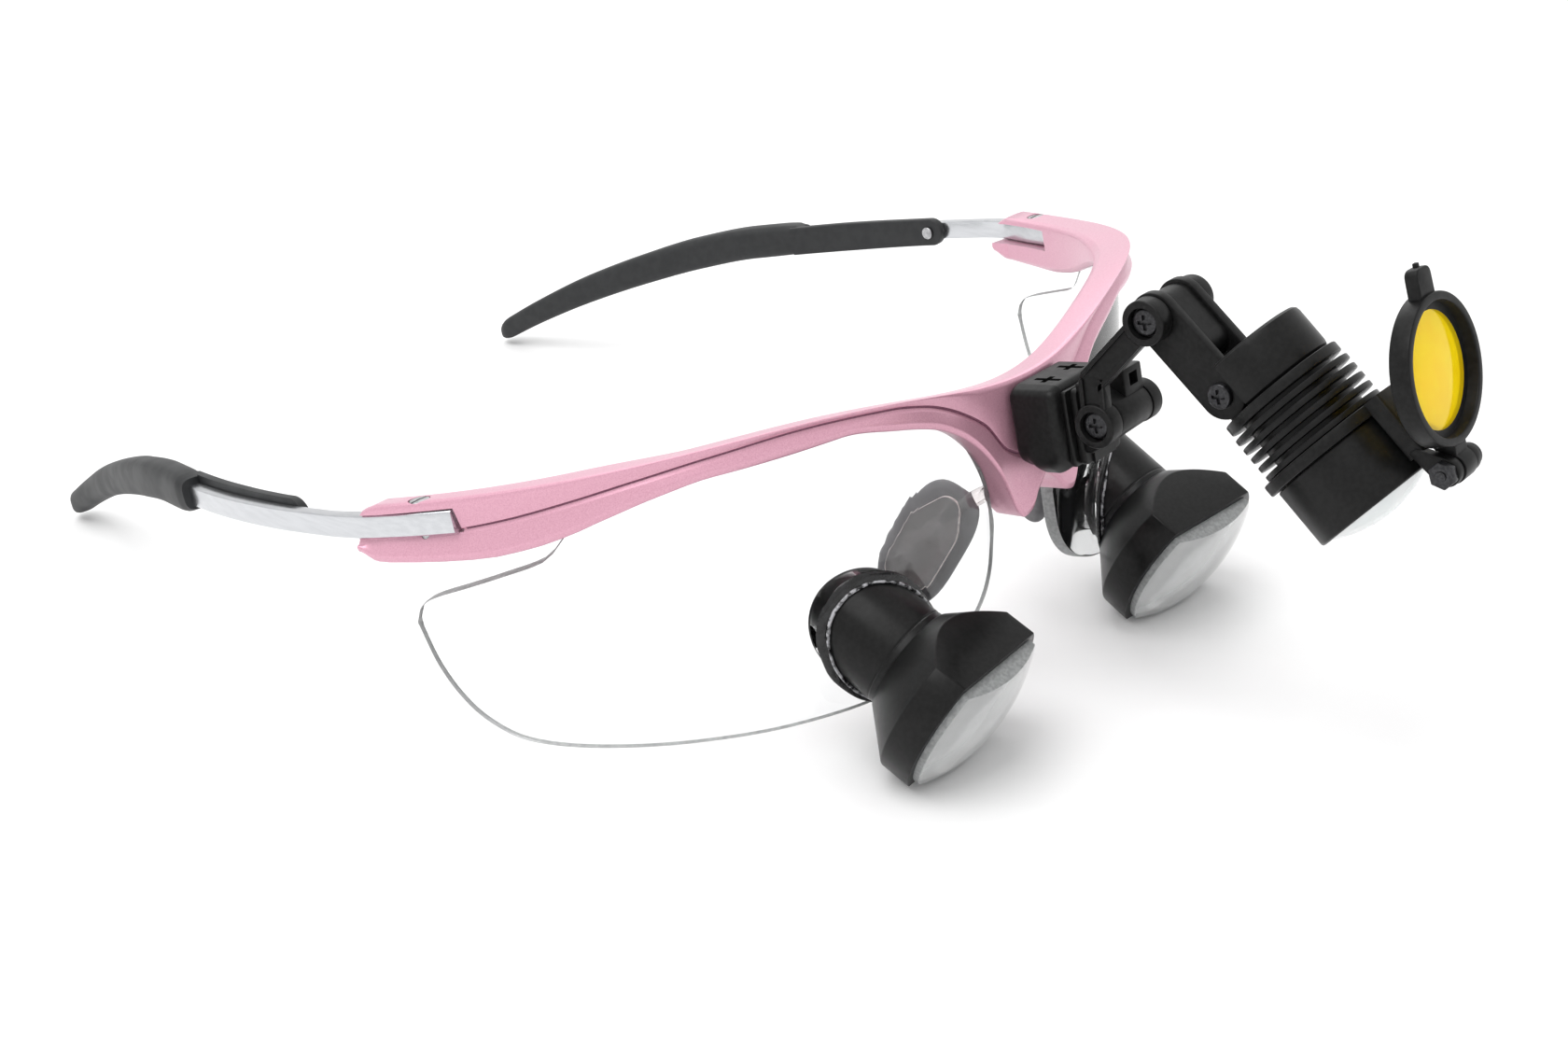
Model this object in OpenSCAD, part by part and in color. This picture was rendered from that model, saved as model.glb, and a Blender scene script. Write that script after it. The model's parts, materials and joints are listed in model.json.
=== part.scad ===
// Dental loupes: a half-rim spectacle frame with two through-the-lens telescopes
// and a jointed LED headlight that carries a flip-over curing filter.
// Lengths are millimetres. Most parts are drawn in the worn frame: x to the
// wearer's left, -y forward, z up, origin on the brow ridge over the nose.
// seated() tips that frame forward until loupes and temple tips meet z = 0.

/* [Frame] */
// Forward tip of the worn frame when it stands on loupes and temple tips
seat_pitch = 10.8; // [8:0.1:14]
// Front-to-back depth of the brow bar
brow_depth = 5.6; // [5:0.1:6.5]
// Height of the slot that takes each temple arm
slot_height = 3.3; // [3.1:0.1:3.6]
// Distance of each temple hinge from the middle plane
hinge_x = 65.9; // [65.7:0.1:66.1]

/* [Temples] */
// Height of the metal arm
arm_height = 3; // [2.4:0.1:3]
// Thickness of the metal arm
arm_thick = 1.8; // [1.4:0.1:2]
// Thickness of the rubber sleeve
sleeve_thick = 4.4; // [3.8:0.1:5]

/* [Carrier lenses] */
// Radius of the outer face of each carrier lens
lens_radius = 63.5; // [62:0.5:65]
// Thickness of each carrier lens
lens_thick = 2; // [1.6:0.1:2.2]
// Backward slope of the carrier lens in degrees
lens_tilt = 7.5; // [5:0.5:9]

/* [Telescopes] */
// Distance from the middle plane to the front of each telescope
loupe_x = 26.1; // [25:0.1:28]
// Downward angle of the telescopes in the worn frame
declination = 37.3; // [35:0.1:40]
// Inward angle of each telescope
toe_in = 5.35; // [3:0.05:7]
// Radius of the objective rim before its flats are cut
rim_radius = 12.35; // [12:0.05:13]
// Height of the objective rim between its two flats
rim_flats = 17.8; // [16:0.1:19]
// Radius of the eyepiece barrel
barrel_radius = 7; // [6.5:0.1:7.4]

/* [Headlight] */
// Radius of the cooling fins and of the front sleeve
lamp_radius = 8.15; // [7.9:0.05:8.4]
// Length of the lamp without its window
lamp_length = 24; // [24:0.5:26]
// Number of cooling fins
fin_count = 5; // [4:1:6]
// Downward angle of the lamp in the worn frame
lamp_angle = 51.8; // [45:0.1:56]
// Outer radius of the curing filter's ring
filter_radius = 8.7; // [8.4:0.1:9]

/* [Hidden] */
$fn = 64;
CLEAR = 0.05;
SHIFT_Y = -48.33;
LIFT_Z = 43.164;
BLACK = [0.10, 0.10, 0.11];
SATIN = [0.16, 0.16, 0.17];
PINK = [0.88, 0.62, 0.73];
SILVER = [0.82, 0.83, 0.85];
CLEAR_GLASS = [0.85, 0.92, 0.95, 0.35];
GREY_PAD = [0.45, 0.44, 0.46];
AMBER = [1.0, 0.75, 0.05, 0.7];

// ---- brow bar: x, y and z of the ridge against a parameter from 0 to 1 ----
FORK_REACH = 4;
function brow_x(t) = 53.7*t + 21*t^3 - 5.1*t^5;
function brow_y(t) = 21.5*t^2 - 13.9*t^4 + 40.8*t^6;
function brow_z(t) = 22.9*t^2 - 35.1*t^4 + 15.9*t^6;
function ridge(t) = t <= 1
    ? [brow_x(t), brow_y(t), brow_z(t)]
    : [brow_x(1), brow_y(1), brow_z(1)] + (t - 1)*[0.9, FORK_REACH, -0.9];
function unit(v) = v/norm(v);
function inward(t) = let (d = ridge(t + 0.005) - ridge(max(t - 0.005, 0)))
    unit([-d[1], d[0], 0]);

// Underside of the bar against x: two short nose lobes, then a slender bar
UNDERSIDE = [
    [0, -14.2], [2.5, -16.4], [4, -18.2], [6.9, -17.5], [9, -11.4], [12.2, -6.6],
    [15.3, -3.9], [18.2, -2.3], [23.8, -0.6], [31.5, 1], [46.4, 0.9], [51.5, 0],
    [56.1, -1.6], [58.9, -2.9], [61.4, -3.8], [64.5, -4.4], [69, -4], [71, -3.4],
];
function underside(t) = lookup(ridge(t)[0], UNDERSIDE);
function depth(t) = brow_depth - (t > 0.8 ? 5*(min(t, 1) - 0.8) : 0);
function fall(t) = t > 0.8 ? 0.6 : 1.5;

// Closed solid through a list of equal-length rings
module skin(rings) {
    m = len(rings[0]);
    n = len(rings);
    quads = [for (i = [0:n - 2], j = [0:m - 1])
        [i*m + j, i*m + (j + 1)%m, (i + 1)*m + (j + 1)%m, (i + 1)*m + j]];
    triangles = [for (q = quads) each [[q[0], q[1], q[2]], [q[0], q[2], q[3]]]];
    first_cap = [for (j = [m - 1:-1:0]) j];
    last_cap = [for (j = [0:m - 1]) (n - 1)*m + j];
    polyhedron([for (r = rings) each r], concat([first_cap], triangles, [last_cap]));
}

// Section of the bar as [distance behind the ridge, height]
function brow_section(t) =
    let (d = depth(t), top = ridge(t)[2], low = underside(t), tall = top - low)
    [[0.7, top], [0.1, top - 0.5], [0, top - 1], [0.45, top - 0.45*tall],
     [0.1, low + 0.9], [0.5, low], [d - 0.7, low + 0.2], [d, low + 0.9],
     [d, top - fall(t)], [d - 1, top - fall(t)/2]];
function brow_ring(t, side) = let (p = ridge(t), n = inward(t))
    [for (q = brow_section(t)) [side*(p[0] + n[0]*q[0]), p[1] + n[1]*q[0], q[1]]];
BROW_STEPS = 26;
END_STEPS = [1.5, 2];
function brow_t(i) = (i/BROW_STEPS)^1.6;

module brow_bar() {
    outer = concat([for (i = [0:BROW_STEPS]) brow_t(i)], END_STEPS);
    count = len(outer);
    skin(concat(
        [for (i = [count - 1:-1:1]) brow_ring(outer[i], 1)],
        [for (i = [0:count - 1]) brow_ring(outer[i], -1)]));
}

// ---- shared placements ----
module seated() {
    translate([0, SHIFT_Y, LIFT_Z]) rotate([-seat_pitch, 0, 0]) children();
}
module sided(side) {
    if (side > 0) children();
    else mirror([1, 0, 0]) children();
}
module along_x(r, x0, x1) {
    translate([x0, 0, 0]) rotate([0, 90, 0]) cylinder(r = r, h = x1 - x0);
}
module hex(flats, thick) {
    cylinder(r = flats/2/cos(30), h = thick, $fn = 6);
}
// Cross recess for a screw head, cut down from z = 0
module cross_recess(width, deep) {
    for (a = [0, 90]) {
        rotate([0, 0, a]) translate([-width/2, -0.22, -deep]) cube([width, 0.44, deep + 0.1]);
    }
}

// ---- temple hinge ----
HINGE_Y = 44;
ARM_Z = 0.8;
SLOT_START = 39;
SCREW_R = 0.8;
SCREW_HEAD_R = 1.35;
SCREW_HEAD_T = 0.55;
HINGE_TOP = 3.55;
HINGE_BOTTOM = -3.9;

module fork_cut() {
    translate([57, SLOT_START, ARM_Z - slot_height/2]) cube([20, 30, slot_height]);
    translate([hinge_x, HINGE_Y, HINGE_BOTTOM - 2]) cylinder(r = SCREW_R, h = 12);
    translate([hinge_x, HINGE_Y, HINGE_TOP - SCREW_HEAD_T]) cylinder(r = SCREW_HEAD_R, h = 4);
}
module hinge_screw() {
    color(SILVER) difference() {
        translate([hinge_x, HINGE_Y, 0]) union() {
            translate([0, 0, HINGE_BOTTOM + 0.3]) cylinder(r = SCREW_R, h = HINGE_TOP - HINGE_BOTTOM - 0.4);
            translate([0, 0, HINGE_TOP - SCREW_HEAD_T]) cylinder(r = SCREW_HEAD_R, h = SCREW_HEAD_T);
        }
        translate([hinge_x - 1, HINGE_Y - 0.15, HINGE_TOP - 0.25]) cube([2, 0.3, 1]);
    }
}

module frame_front() {
    color(PINK) difference() {
        seated() brow_bar();
        for (side = [-1, 1]) seated() sided(side) fork_cut();
        for (side = [-1, 1]) seated() sided(side) lens_groove();
        for (side = [-1, 1]) seated() sided(side) pad_socket();
        seated() bridge_screw_holes();
    }
}

// ---- carrier lenses ----
LENS_CENTRE = [6, 66, 0];
LENS_COLUMNS = 36;
LENS_FIRST = 0.8;
LENS_LAST = 73.2;
LENS_FOOT = [
    [0.8, -22], [2, -26.5], [4, -29.5], [7, -32], [11, -33.8], [16, -35], [22, -35.6],
    [31, -35.2], [42, -34], [50, -32.8], [58, -31.2], [62.4, -29.7], [66.6, -26.6],
    [69.2, -23.3], [71.5, -18.8], [73.2, -13.6],
];
LENS_BROW = [
    [0.8, -15.9], [2, -12.2], [4, -7.8], [6, -5.1], [9, -2.6], [13, -0.5], [17, 0.7],
    [24, 1.9], [38, 1.9], [45, 1.2], [50, -0.3], [53.5, -2.2], [54.6, -3.8], [57, -6.3],
    [61.6, -7.3], [66.3, -8.4], [71, -9.4], [72.6, -10.6], [73.2, -12],
];
function lens_point(a, r, z) = [
    LENS_CENTRE[0] + r*sin(a), LENS_CENTRE[1] - r*cos(a) - z*tan(lens_tilt), z];
function lens_ring(a, grow) = let (top = lookup(a, LENS_BROW), foot = lookup(a, LENS_FOOT))
    [lens_point(a, lens_radius + grow, top),
     lens_point(a, lens_radius - lens_thick - grow, top),
     lens_point(a, lens_radius - lens_thick - grow, foot),
     lens_point(a, lens_radius + grow, foot)];
function lens_angle(i) = LENS_FIRST + (LENS_LAST - LENS_FIRST)*i/LENS_COLUMNS;
module lens_blank(grow) {
    skin([for (i = [0:LENS_COLUMNS]) lens_ring(lens_angle(i), grow)]);
}
module lens_groove() {
    lens_blank(0.03);
}
// Curved layer that follows the carrier lens between two radii
module lens_layer(r_in, r_out) {
    translate(LENS_CENTRE) multmatrix([[1, 0, 0, 0], [0, 1, -tan(lens_tilt), 0], [0, 0, 1, 0]])
    translate([0, 0, -50]) difference() {
        cylinder(r = r_out, h = 60, $fn = 128);
        translate([0, 0, -1]) cylinder(r = r_in, h = 62, $fn = 128);
    }
}
module carrier_lens(side) {
    color(CLEAR_GLASS) seated() sided(side) difference() {
        lens_blank(0);
        at_loupe() translate([0, 0, -30]) cylinder(r = barrel_radius, h = 28);
        at_loupe() housing_space();
        translate(PAD_ROOT) rotate([0, 90, 62]) translate([0, 0, -2]) cylinder(r = 1.7, h = 8);
    }
}

// ---- telescopes: z runs forward along the optical axis, 0 at the rim's front ----
LOUPE_Y = -1.95;
LOUPE_Z = -36.05;
RIM_BAND = 4.4;
CONE_END = -10;
BARREL_BACK = -25;
BARREL_PROUD = 0.6;
EYEPIECE_BACK = -16.2;
WALL = 1;
module at_loupe() {
    translate([loupe_x, LOUPE_Y, LOUPE_Z])
    rotate([0, 0, -toe_in]) rotate([90 + declination, 0, 0]) children();
}
module between_flats(gap) {
    intersection() {
        children();
        translate([-20, -gap/2, -40]) cube([40, gap, 60]);
    }
}
// Room round the back of the objective housing
module housing_space() {
    translate([0, 0, CONE_END - CLEAR])
        cylinder(r1 = barrel_radius + 0.4 + CLEAR, r2 = rim_radius + CLEAR, h = -CONE_END - RIM_BAND);
}
module objective_housing() {
    difference() {
        between_flats(rim_flats) union() {
            translate([0, 0, -RIM_BAND]) cylinder(r = rim_radius, h = RIM_BAND);
            translate([0, 0, CONE_END])
                cylinder(r1 = barrel_radius + 0.4, r2 = rim_radius, h = -CONE_END - RIM_BAND);
        }
        between_flats(rim_flats - 2*WALL) union() {
            translate([0, 0, -RIM_BAND]) cylinder(r = rim_radius - WALL, h = RIM_BAND + 1);
            translate([0, 0, CONE_END])
                cylinder(r1 = barrel_radius - 1, r2 = rim_radius - 2*WALL, h = -CONE_END - RIM_BAND);
        }
        translate([0, 0, CONE_END - 1]) cylinder(r = barrel_radius, h = 3);
    }
}
// The barrel's rear end follows the carrier lens and stands a little proud of its rear face
module barrel(side) {
    color(BLACK) seated() sided(side) difference() {
        at_loupe() translate([0, 0, BARREL_BACK]) cylinder(r = barrel_radius, h = CONE_END + 1.8 - BARREL_BACK);
        at_loupe() translate([0, 0, BARREL_BACK - 1]) cylinder(r = barrel_radius - WALL, h = 30);
        translate(LENS_CENTRE) multmatrix([[1, 0, 0, 0], [0, 1, -tan(lens_tilt), 0], [0, 0, 1, 0]])
            translate([0, 0, -50]) cylinder(r = lens_radius - lens_thick - BARREL_PROUD, h = 60, $fn = 128);
    }
}
OBJECTIVE_SEAT = -2.6;
OBJECTIVE_EDGE = 0.9;
OBJECTIVE_SAG = 2.7;
function cap_radius(r, sag) = (r*r + sag*sag)/2/sag;
module objective_lens() {
    r = rim_radius - WALL - 0.02;
    ball = cap_radius(r, OBJECTIVE_SAG);
    between_flats(rim_flats - 2*WALL - 0.04) intersection() {
        translate([0, 0, OBJECTIVE_SEAT]) cylinder(r = r, h = 8);
        translate([0, 0, OBJECTIVE_EDGE + OBJECTIVE_SAG - ball]) sphere(r = ball, $fn = 96);
    }
}
module objective_retainer() {
    difference() {
        between_flats(rim_flats - 2*WALL - 0.04)
            translate([0, 0, OBJECTIVE_SEAT - 1.2]) cylinder(r = rim_radius - WALL - 0.02, h = 1.2);
        translate([0, 0, OBJECTIVE_SEAT - 2]) cylinder(r = 7.2, h = 3);
    }
}
EYE_LENS_R = 5.9;
module eyepiece_lens() {
    difference() {
        translate([0, 0, EYEPIECE_BACK + 1.6]) cylinder(r = EYE_LENS_R, h = 2.2);
        translate([0, 0, EYEPIECE_BACK + 1.6 - 8.8]) sphere(r = 9.8, $fn = 96);
    }
}
module eyepiece_ring() {
    difference() {
        translate([0, 0, EYEPIECE_BACK]) cylinder(r = barrel_radius - WALL - 0.02, h = 1.5);
        translate([0, 0, EYEPIECE_BACK - 2]) cylinder(r = EYE_LENS_R - 0.9, h = 6);
    }
}
module mount_collar(side) {
    color(BLACK) seated() sided(side) difference() {
        intersection() {
            lens_layer(lens_radius, lens_radius + 1.5);
            at_loupe() translate([0, 0, -30]) cylinder(r = barrel_radius + 1.2, h = 28);
        }
        at_loupe() translate([0, 0, -31]) cylinder(r = barrel_radius, h = 30);
        at_loupe() translate([0, 0, CONE_END - CLEAR]) cylinder(r = rim_radius, h = 20);
    }
}
module loupe_piece(side, tone) {
    color(tone) seated() sided(side) at_loupe() children();
}

// ---- nose pads ----
PAD_CENTRE = [12, 13.2, -20.3];
PAD_LENGTH = 16;
PAD_WIDTH = 9;
PAD_THICK = 2.2;
PAD_ROOT = [6.6, 4.95, -14.6];
PAD_PIN_R = 0.9;
PAD_PIN_LENGTH = 2.6;
module pad_frame() {
    translate(PAD_CENTRE) rotate([0, 0, -24]) rotate([0, -14, 0]) rotate([38, 0, 0]) children();
}
module pad_disc(end, r, thick) {
    translate([-thick/2, 0, end*(PAD_LENGTH - PAD_WIDTH)/2]) rotate([0, 90, 0])
        cylinder(r = r, h = thick, $fn = 32);
}
module nose_pad(side) {
    color(GREY_PAD) seated() sided(side) difference() {
        pad_frame() hull() {
            for (end = [-1, 1]) {
                pad_disc(end, PAD_WIDTH/2 - 0.7, PAD_THICK);
                pad_disc(end, PAD_WIDTH/2, 0.8);
            }
        }
        pad_stalk(CLEAR);
    }
}
module pad_pin() {
    translate(PAD_ROOT) rotate([0, 90, 62]) cylinder(r = PAD_PIN_R, h = PAD_PIN_LENGTH);
}
module pad_socket() {
    pad_pin();
}
PAD_PLATE = 0.9;
// Stalk that runs from the pin to the plate behind the pad
module pad_stalk(grow) {
    hull() {
        translate(PAD_ROOT) rotate([0, 90, 62]) translate([0, 0, PAD_PIN_LENGTH - 0.6])
            cylinder(r = 1.1 + grow, h = 0.9, $fn = 20);
        pad_frame() translate([PAD_THICK/2 + 0.12, 0, 3]) rotate([0, 90, 0])
            cylinder(r = 1.5 + grow, h = PAD_PLATE - 0.2, $fn = 20);
    }
}
module pad_arm(side) {
    color(CLEAR_GLASS) seated() sided(side) union() {
        pad_pin();
        pad_stalk(0);
        pad_frame() translate([PAD_THICK/2 + 0.02, 0, 0]) hull() {
            for (end = [-1, 1]) {
                translate([0, 0, end*3.4]) rotate([0, 90, 0]) cylinder(r = 2.9, h = PAD_PLATE, $fn = 32);
            }
        }
    }
}

// ---- bridge block, rail and bracket ----
BLOCK_HALF = 6.5;
BLOCK_FRONT = -7.2;
BLOCK_BACK = -0.02;
BLOCK_LOW = -12.6;
BLOCK_TOP = -0.6;
BLOCK_ROUND = 1.7;
RAIL_PLATE = 0.7;
RAIL_NECK = 1.5;
RAIL_HEAD = 2.4;
RAIL_DEEP = 1.3;
FLANGE_HALF = 5;
BRACKET_HALF = 4.1;
RAIL_LOW = -11.4;
RAIL_TOP = -1.4;
SCREW_HEIGHTS = [-4, -9];
BRIDGE_SCREW_R = 0.8;
BRIDGE_HEAD_R = 1.5;
BRIDGE_HEAD_T = 0.9;
module bridge_screw_holes() {
    for (z = SCREW_HEIGHTS) {
        translate([0, -1, z]) rotate([-90, 0, 0]) cylinder(r = BRIDGE_SCREW_R, h = 4);
    }
}
module bridge_block() {
    color(BLACK) seated() difference() {
        hull() {
            for (x = [-1, 1], z = [BLOCK_LOW + BLOCK_ROUND, BLOCK_TOP - BLOCK_ROUND]) {
                translate([x*(BLOCK_HALF - BLOCK_ROUND), BLOCK_FRONT, z]) rotate([-90, 0, 0])
                    cylinder(r1 = BLOCK_ROUND - 0.6, r2 = BLOCK_ROUND, h = 0.8, $fn = 32);
                translate([x*(BLOCK_HALF - BLOCK_ROUND), BLOCK_BACK - 1, z]) rotate([-90, 0, 0])
                    cylinder(r = BLOCK_ROUND, h = 1, $fn = 32);
            }
        }
        for (z = SCREW_HEIGHTS) {
            translate([0, BLOCK_FRONT - 1, z]) rotate([-90, 0, 0]) cylinder(r = BRIDGE_SCREW_R, h = 14);
            translate([0, BLOCK_FRONT - 1, z]) rotate([-90, 0, 0])
                cylinder(r = BRIDGE_HEAD_R, h = 1 + BRIDGE_HEAD_T + 0.1);
        }
    }
}
module bridge_screws() {
    color(SILVER) seated() for (z = SCREW_HEIGHTS) translate([0, BLOCK_FRONT + 0.1, z]) rotate([-90, 0, 0]) {
        cylinder(r = BRIDGE_HEAD_R, h = BRIDGE_HEAD_T);
        translate([0, 0, BRIDGE_HEAD_T]) cylinder(r = BRIDGE_SCREW_R, h = 9);
    }
}
module rail_outline(grow) {
    neck = BLOCK_FRONT - RAIL_PLATE;
    polygon([
        [-RAIL_NECK - grow, neck + 0.3], [-RAIL_NECK - grow, neck - 0.2],
        [-RAIL_HEAD - grow, neck - 0.7], [-RAIL_HEAD - grow, neck - RAIL_DEEP - grow],
        [RAIL_HEAD + grow, neck - RAIL_DEEP - grow], [RAIL_HEAD + grow, neck - 0.7],
        [RAIL_NECK + grow, neck - 0.2], [RAIL_NECK + grow, neck + 0.3]]);
}
module dovetail_rail() {
    color(SATIN) seated() {
        translate([-FLANGE_HALF, BLOCK_FRONT - RAIL_PLATE, RAIL_LOW])
            cube([2*FLANGE_HALF, RAIL_PLATE, RAIL_TOP - RAIL_LOW]);
        translate([0, 0, RAIL_LOW]) linear_extrude(RAIL_TOP - RAIL_LOW) rail_outline(0);
    }
}

// Pivots of the lamp arm as [y, z] in the worn frame, all with their axes along x
LOWER_PIVOT = [-12.3, -5.4];
UPPER_PIVOT = [-21.4, 7.9];
LAMP_PIVOT = [-29.3, -1.5];
ELBOW = [-12.6, 0.4];
BOSS_R = 2.85;
BOSS_RECESS_R = 1.95;
PIVOT_R = 0.9;
EAR_HALF = 3.6;
BOSS_IN = 3.85;
BOSS_OUT = 6.2;
RECESS_DEEP = 1.25;
HEAD_THICK = 0.8;
RECESSED_HEAD = -BOSS_OUT + RECESS_DEEP - HEAD_THICK - 0.02;
module at(p) {
    translate([0, p[0], p[1]]) children();
}
module lamp_bracket() {
    flange_y = BLOCK_FRONT - RAIL_PLATE - CLEAR;
    color(BLACK) seated() difference() {
        union() {
            translate([-BRACKET_HALF, flange_y - 0.95, RAIL_LOW])
                cube([2*BRACKET_HALF, 0.95, RAIL_TOP - RAIL_LOW]);
            hull() {
                translate([-EAR_HALF, flange_y - 1.8, RAIL_LOW + 1.5]) cube([2*EAR_HALF, 1.2, 9.2]);
                at(LOWER_PIVOT) along_x(BOSS_R - 0.25, -EAR_HALF, EAR_HALF, $fn = 32);
            }
            translate([-0.6, LOWER_PIVOT[0] - 1.6, -3.4]) cube([4.2, 3.6, 3.6]);
        }
        translate([0, 0, RAIL_LOW - 1]) linear_extrude(RAIL_TOP - RAIL_LOW + 1 + CLEAR) rail_outline(CLEAR);
        translate([-RAIL_NECK - CLEAR, flange_y - 0.4, RAIL_LOW - 1])
            cube([2*(RAIL_NECK + CLEAR), 1, RAIL_TOP - RAIL_LOW + 3]);
        at(LOWER_PIVOT) along_x(PIVOT_R, -EAR_HALF - 1, EAR_HALF + 1);
        translate([0.6, LOWER_PIVOT[0] - 2, -2.2]) cube([1.8, 5, 1.6]);
    }
}
// Recessed-head screw along x with its head on the right side
module pivot_screw(head_x, tip_x, head_r) {
    difference() {
        union() {
            along_x(head_r, head_x, head_x + HEAD_THICK);
            along_x(PIVOT_R, head_x + HEAD_THICK, tip_x);
        }
        translate([head_x, 0, 0]) rotate([0, -90, 0]) cross_recess(1.9, 0.45);
    }
}
module cap_nut(x0, x1) {
    difference() {
        along_x(BOSS_R - 0.15, x0, x1);
        along_x(PIVOT_R, x0 - 1, x1 - 0.7);
    }
}
module lower_link() {
    plate_in = -4.2;
    plate_out = -5.7;
    half_width = 1.75;
    color(BLACK) seated() difference() {
        union() {
            for (p = [LOWER_PIVOT, UPPER_PIVOT]) at(p) along_x(BOSS_R, -BOSS_OUT, -BOSS_IN);
            hull() {
                at(LOWER_PIVOT) along_x(half_width, plate_out, plate_in, $fn = 32);
                at(ELBOW) along_x(half_width, plate_out, plate_in, $fn = 32);
            }
            hull() {
                at(ELBOW) along_x(half_width, plate_out, plate_in, $fn = 32);
                at(UPPER_PIVOT) along_x(half_width, plate_out, plate_in, $fn = 32);
            }
        }
        for (p = [LOWER_PIVOT, UPPER_PIVOT]) {
            at(p) along_x(BOSS_RECESS_R, -BOSS_OUT - 1, -BOSS_OUT + RECESS_DEEP);
        }
        at(LOWER_PIVOT) along_x(PIVOT_R + CLEAR, -BOSS_OUT - 1, -BOSS_IN + 1);
        at(UPPER_PIVOT) along_x(PIVOT_R, -BOSS_OUT - 1, -BOSS_IN + 1);
    }
}
PLATE_IN = 2.3;
PLATE_OUT = 3.75;
FORK_R = 3.1;
module upper_link() {
    color(BLACK) seated() difference() {
        union() {
            for (side = [-1, 1]) sided(side) hull() {
                at(UPPER_PIVOT) along_x(FORK_R, PLATE_IN, PLATE_OUT, $fn = 32);
                at(LAMP_PIVOT) along_x(FORK_R, PLATE_IN, PLATE_OUT, $fn = 32);
            }
            hull() {
                for (p = [UPPER_PIVOT, 0.55*UPPER_PIVOT + 0.45*LAMP_PIVOT]) {
                    at(p) along_x(FORK_R - 0.5, -PLATE_IN - 0.1, PLATE_IN + 0.1, $fn = 32);
                }
            }
        }
        at(UPPER_PIVOT) along_x(PIVOT_R + CLEAR, -PLATE_OUT - 1, PLATE_OUT + 1);
        at(LAMP_PIVOT) along_x(PIVOT_R, -PLATE_OUT - 1, PLATE_OUT + 1);
    }
}

// ---- headlight: z runs forward along the lamp, y towards its upper side ----
LAMP_REAR = [-31.2, 3.6];
CAP_R = 7.3;
CAP_LENGTH = 6.2;
TONGUE_HALF = 2.2;
TONGUE_TOP = -0.4;
FLANGE_T = 1.3;
FIN_PITCH = 1.36;
FIN_T = 0.72;
CORE_R = 6.2;
GROOVE_R = 6.9;
GROOVE_W = 1.7;
SPIGOT = 1.5;
WINDOW_SEAT = 1.1;
WINDOW_SAG = 1.8;
BOARD_T = 1;
CHIP = [2.2, 2.2, 0.6];
SOCKET_Y = 3.4;
SOCKET_R = 2.3;
JACK_R = 1.25;
JACK_DEEP = 4;
fins_start = CAP_LENGTH + FLANGE_T;
groove_start = fins_start + fin_count*FIN_PITCH;
sleeve_start = groove_start + GROOVE_W;
board_start = sleeve_start + SPIGOT;
function lamp_pivot_local() = let (d = LAMP_PIVOT - LAMP_REAR, c = cos(lamp_angle), s = sin(lamp_angle))
    [-s*d[0] + c*d[1], -c*d[0] - s*d[1]];
module at_lamp() {
    seated() at(LAMP_REAR) rotate([180 - (90 - lamp_angle), 0, 0]) children();
}
module lamp_rear_cap() {
    pivot = lamp_pivot_local();
    color(BLACK) at_lamp() difference() {
        cylinder(r = CAP_R, h = CAP_LENGTH);
        for (side = [-1, 1]) {
            sided(side) translate([TONGUE_HALF, TONGUE_TOP - 10, -1]) cube([10, 10, CAP_LENGTH + 0.9]);
        }
        translate([0, pivot[0], pivot[1]]) along_x(PIVOT_R + CLEAR, -TONGUE_HALF - 1, TONGUE_HALF + 1);
        translate([0, SOCKET_Y, -1]) cylinder(r = SOCKET_R, h = CAP_LENGTH + 2);
    }
}
module power_socket() {
    color(SATIN) at_lamp() translate([0, SOCKET_Y, 0]) difference() {
        cylinder(r = SOCKET_R, h = CAP_LENGTH);
        translate([0, 0, -1]) cylinder(r = JACK_R, h = JACK_DEEP + 1);
    }
}
module heat_sink() {
    color(SATIN) at_lamp() difference() {
        union() {
            translate([0, 0, CAP_LENGTH]) cylinder(r = lamp_radius - 0.15, h = FLANGE_T);
            translate([0, 0, CAP_LENGTH]) cylinder(r = CORE_R, h = groove_start - CAP_LENGTH);
            for (i = [1:fin_count]) {
                translate([0, 0, fins_start + i*FIN_PITCH - FIN_T]) cylinder(r = lamp_radius, h = FIN_T);
            }
            translate([0, 0, groove_start]) cylinder(r = GROOVE_R, h = GROOVE_W + SPIGOT);
        }
        translate([0, SOCKET_Y, CAP_LENGTH - 1]) cylinder(r = JACK_R, h = 30);
    }
}
module lamp_front_sleeve() {
    color(BLACK) at_lamp() translate([0, 0, sleeve_start]) difference() {
        cylinder(r = lamp_radius, h = lamp_length - sleeve_start);
        translate([0, 0, -1]) cylinder(r = GROOVE_R, h = lamp_length);
    }
}
module led_board() {
    color("seagreen") at_lamp() translate([0, 0, board_start]) cylinder(r = GROOVE_R - 0.3, h = BOARD_T);
}
module led_chip() {
    color("gold") at_lamp() translate([-CHIP[0]/2, -CHIP[1]/2, board_start + BOARD_T]) cube(CHIP);
}
module collimator() {
    base = board_start + BOARD_T;
    top = lamp_length - WINDOW_SEAT - 0.1;
    color(CLEAR_GLASS) at_lamp() difference() {
        translate([0, 0, base]) cylinder(r1 = 2.6, r2 = GROOVE_R - 0.3, h = top - base);
        translate([0, 0, base - 1]) cylinder(r = 1.8, h = 2);
    }
}
module lamp_window() {
    ball = cap_radius(GROOVE_R, WINDOW_SAG);
    color(CLEAR_GLASS) at_lamp() translate([0, 0, lamp_length]) intersection() {
        translate([0, 0, -WINDOW_SEAT]) cylinder(r = GROOVE_R, h = 5);
        translate([0, 0, WINDOW_SAG - ball]) sphere(r = ball, $fn = 96);
    }
}

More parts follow.
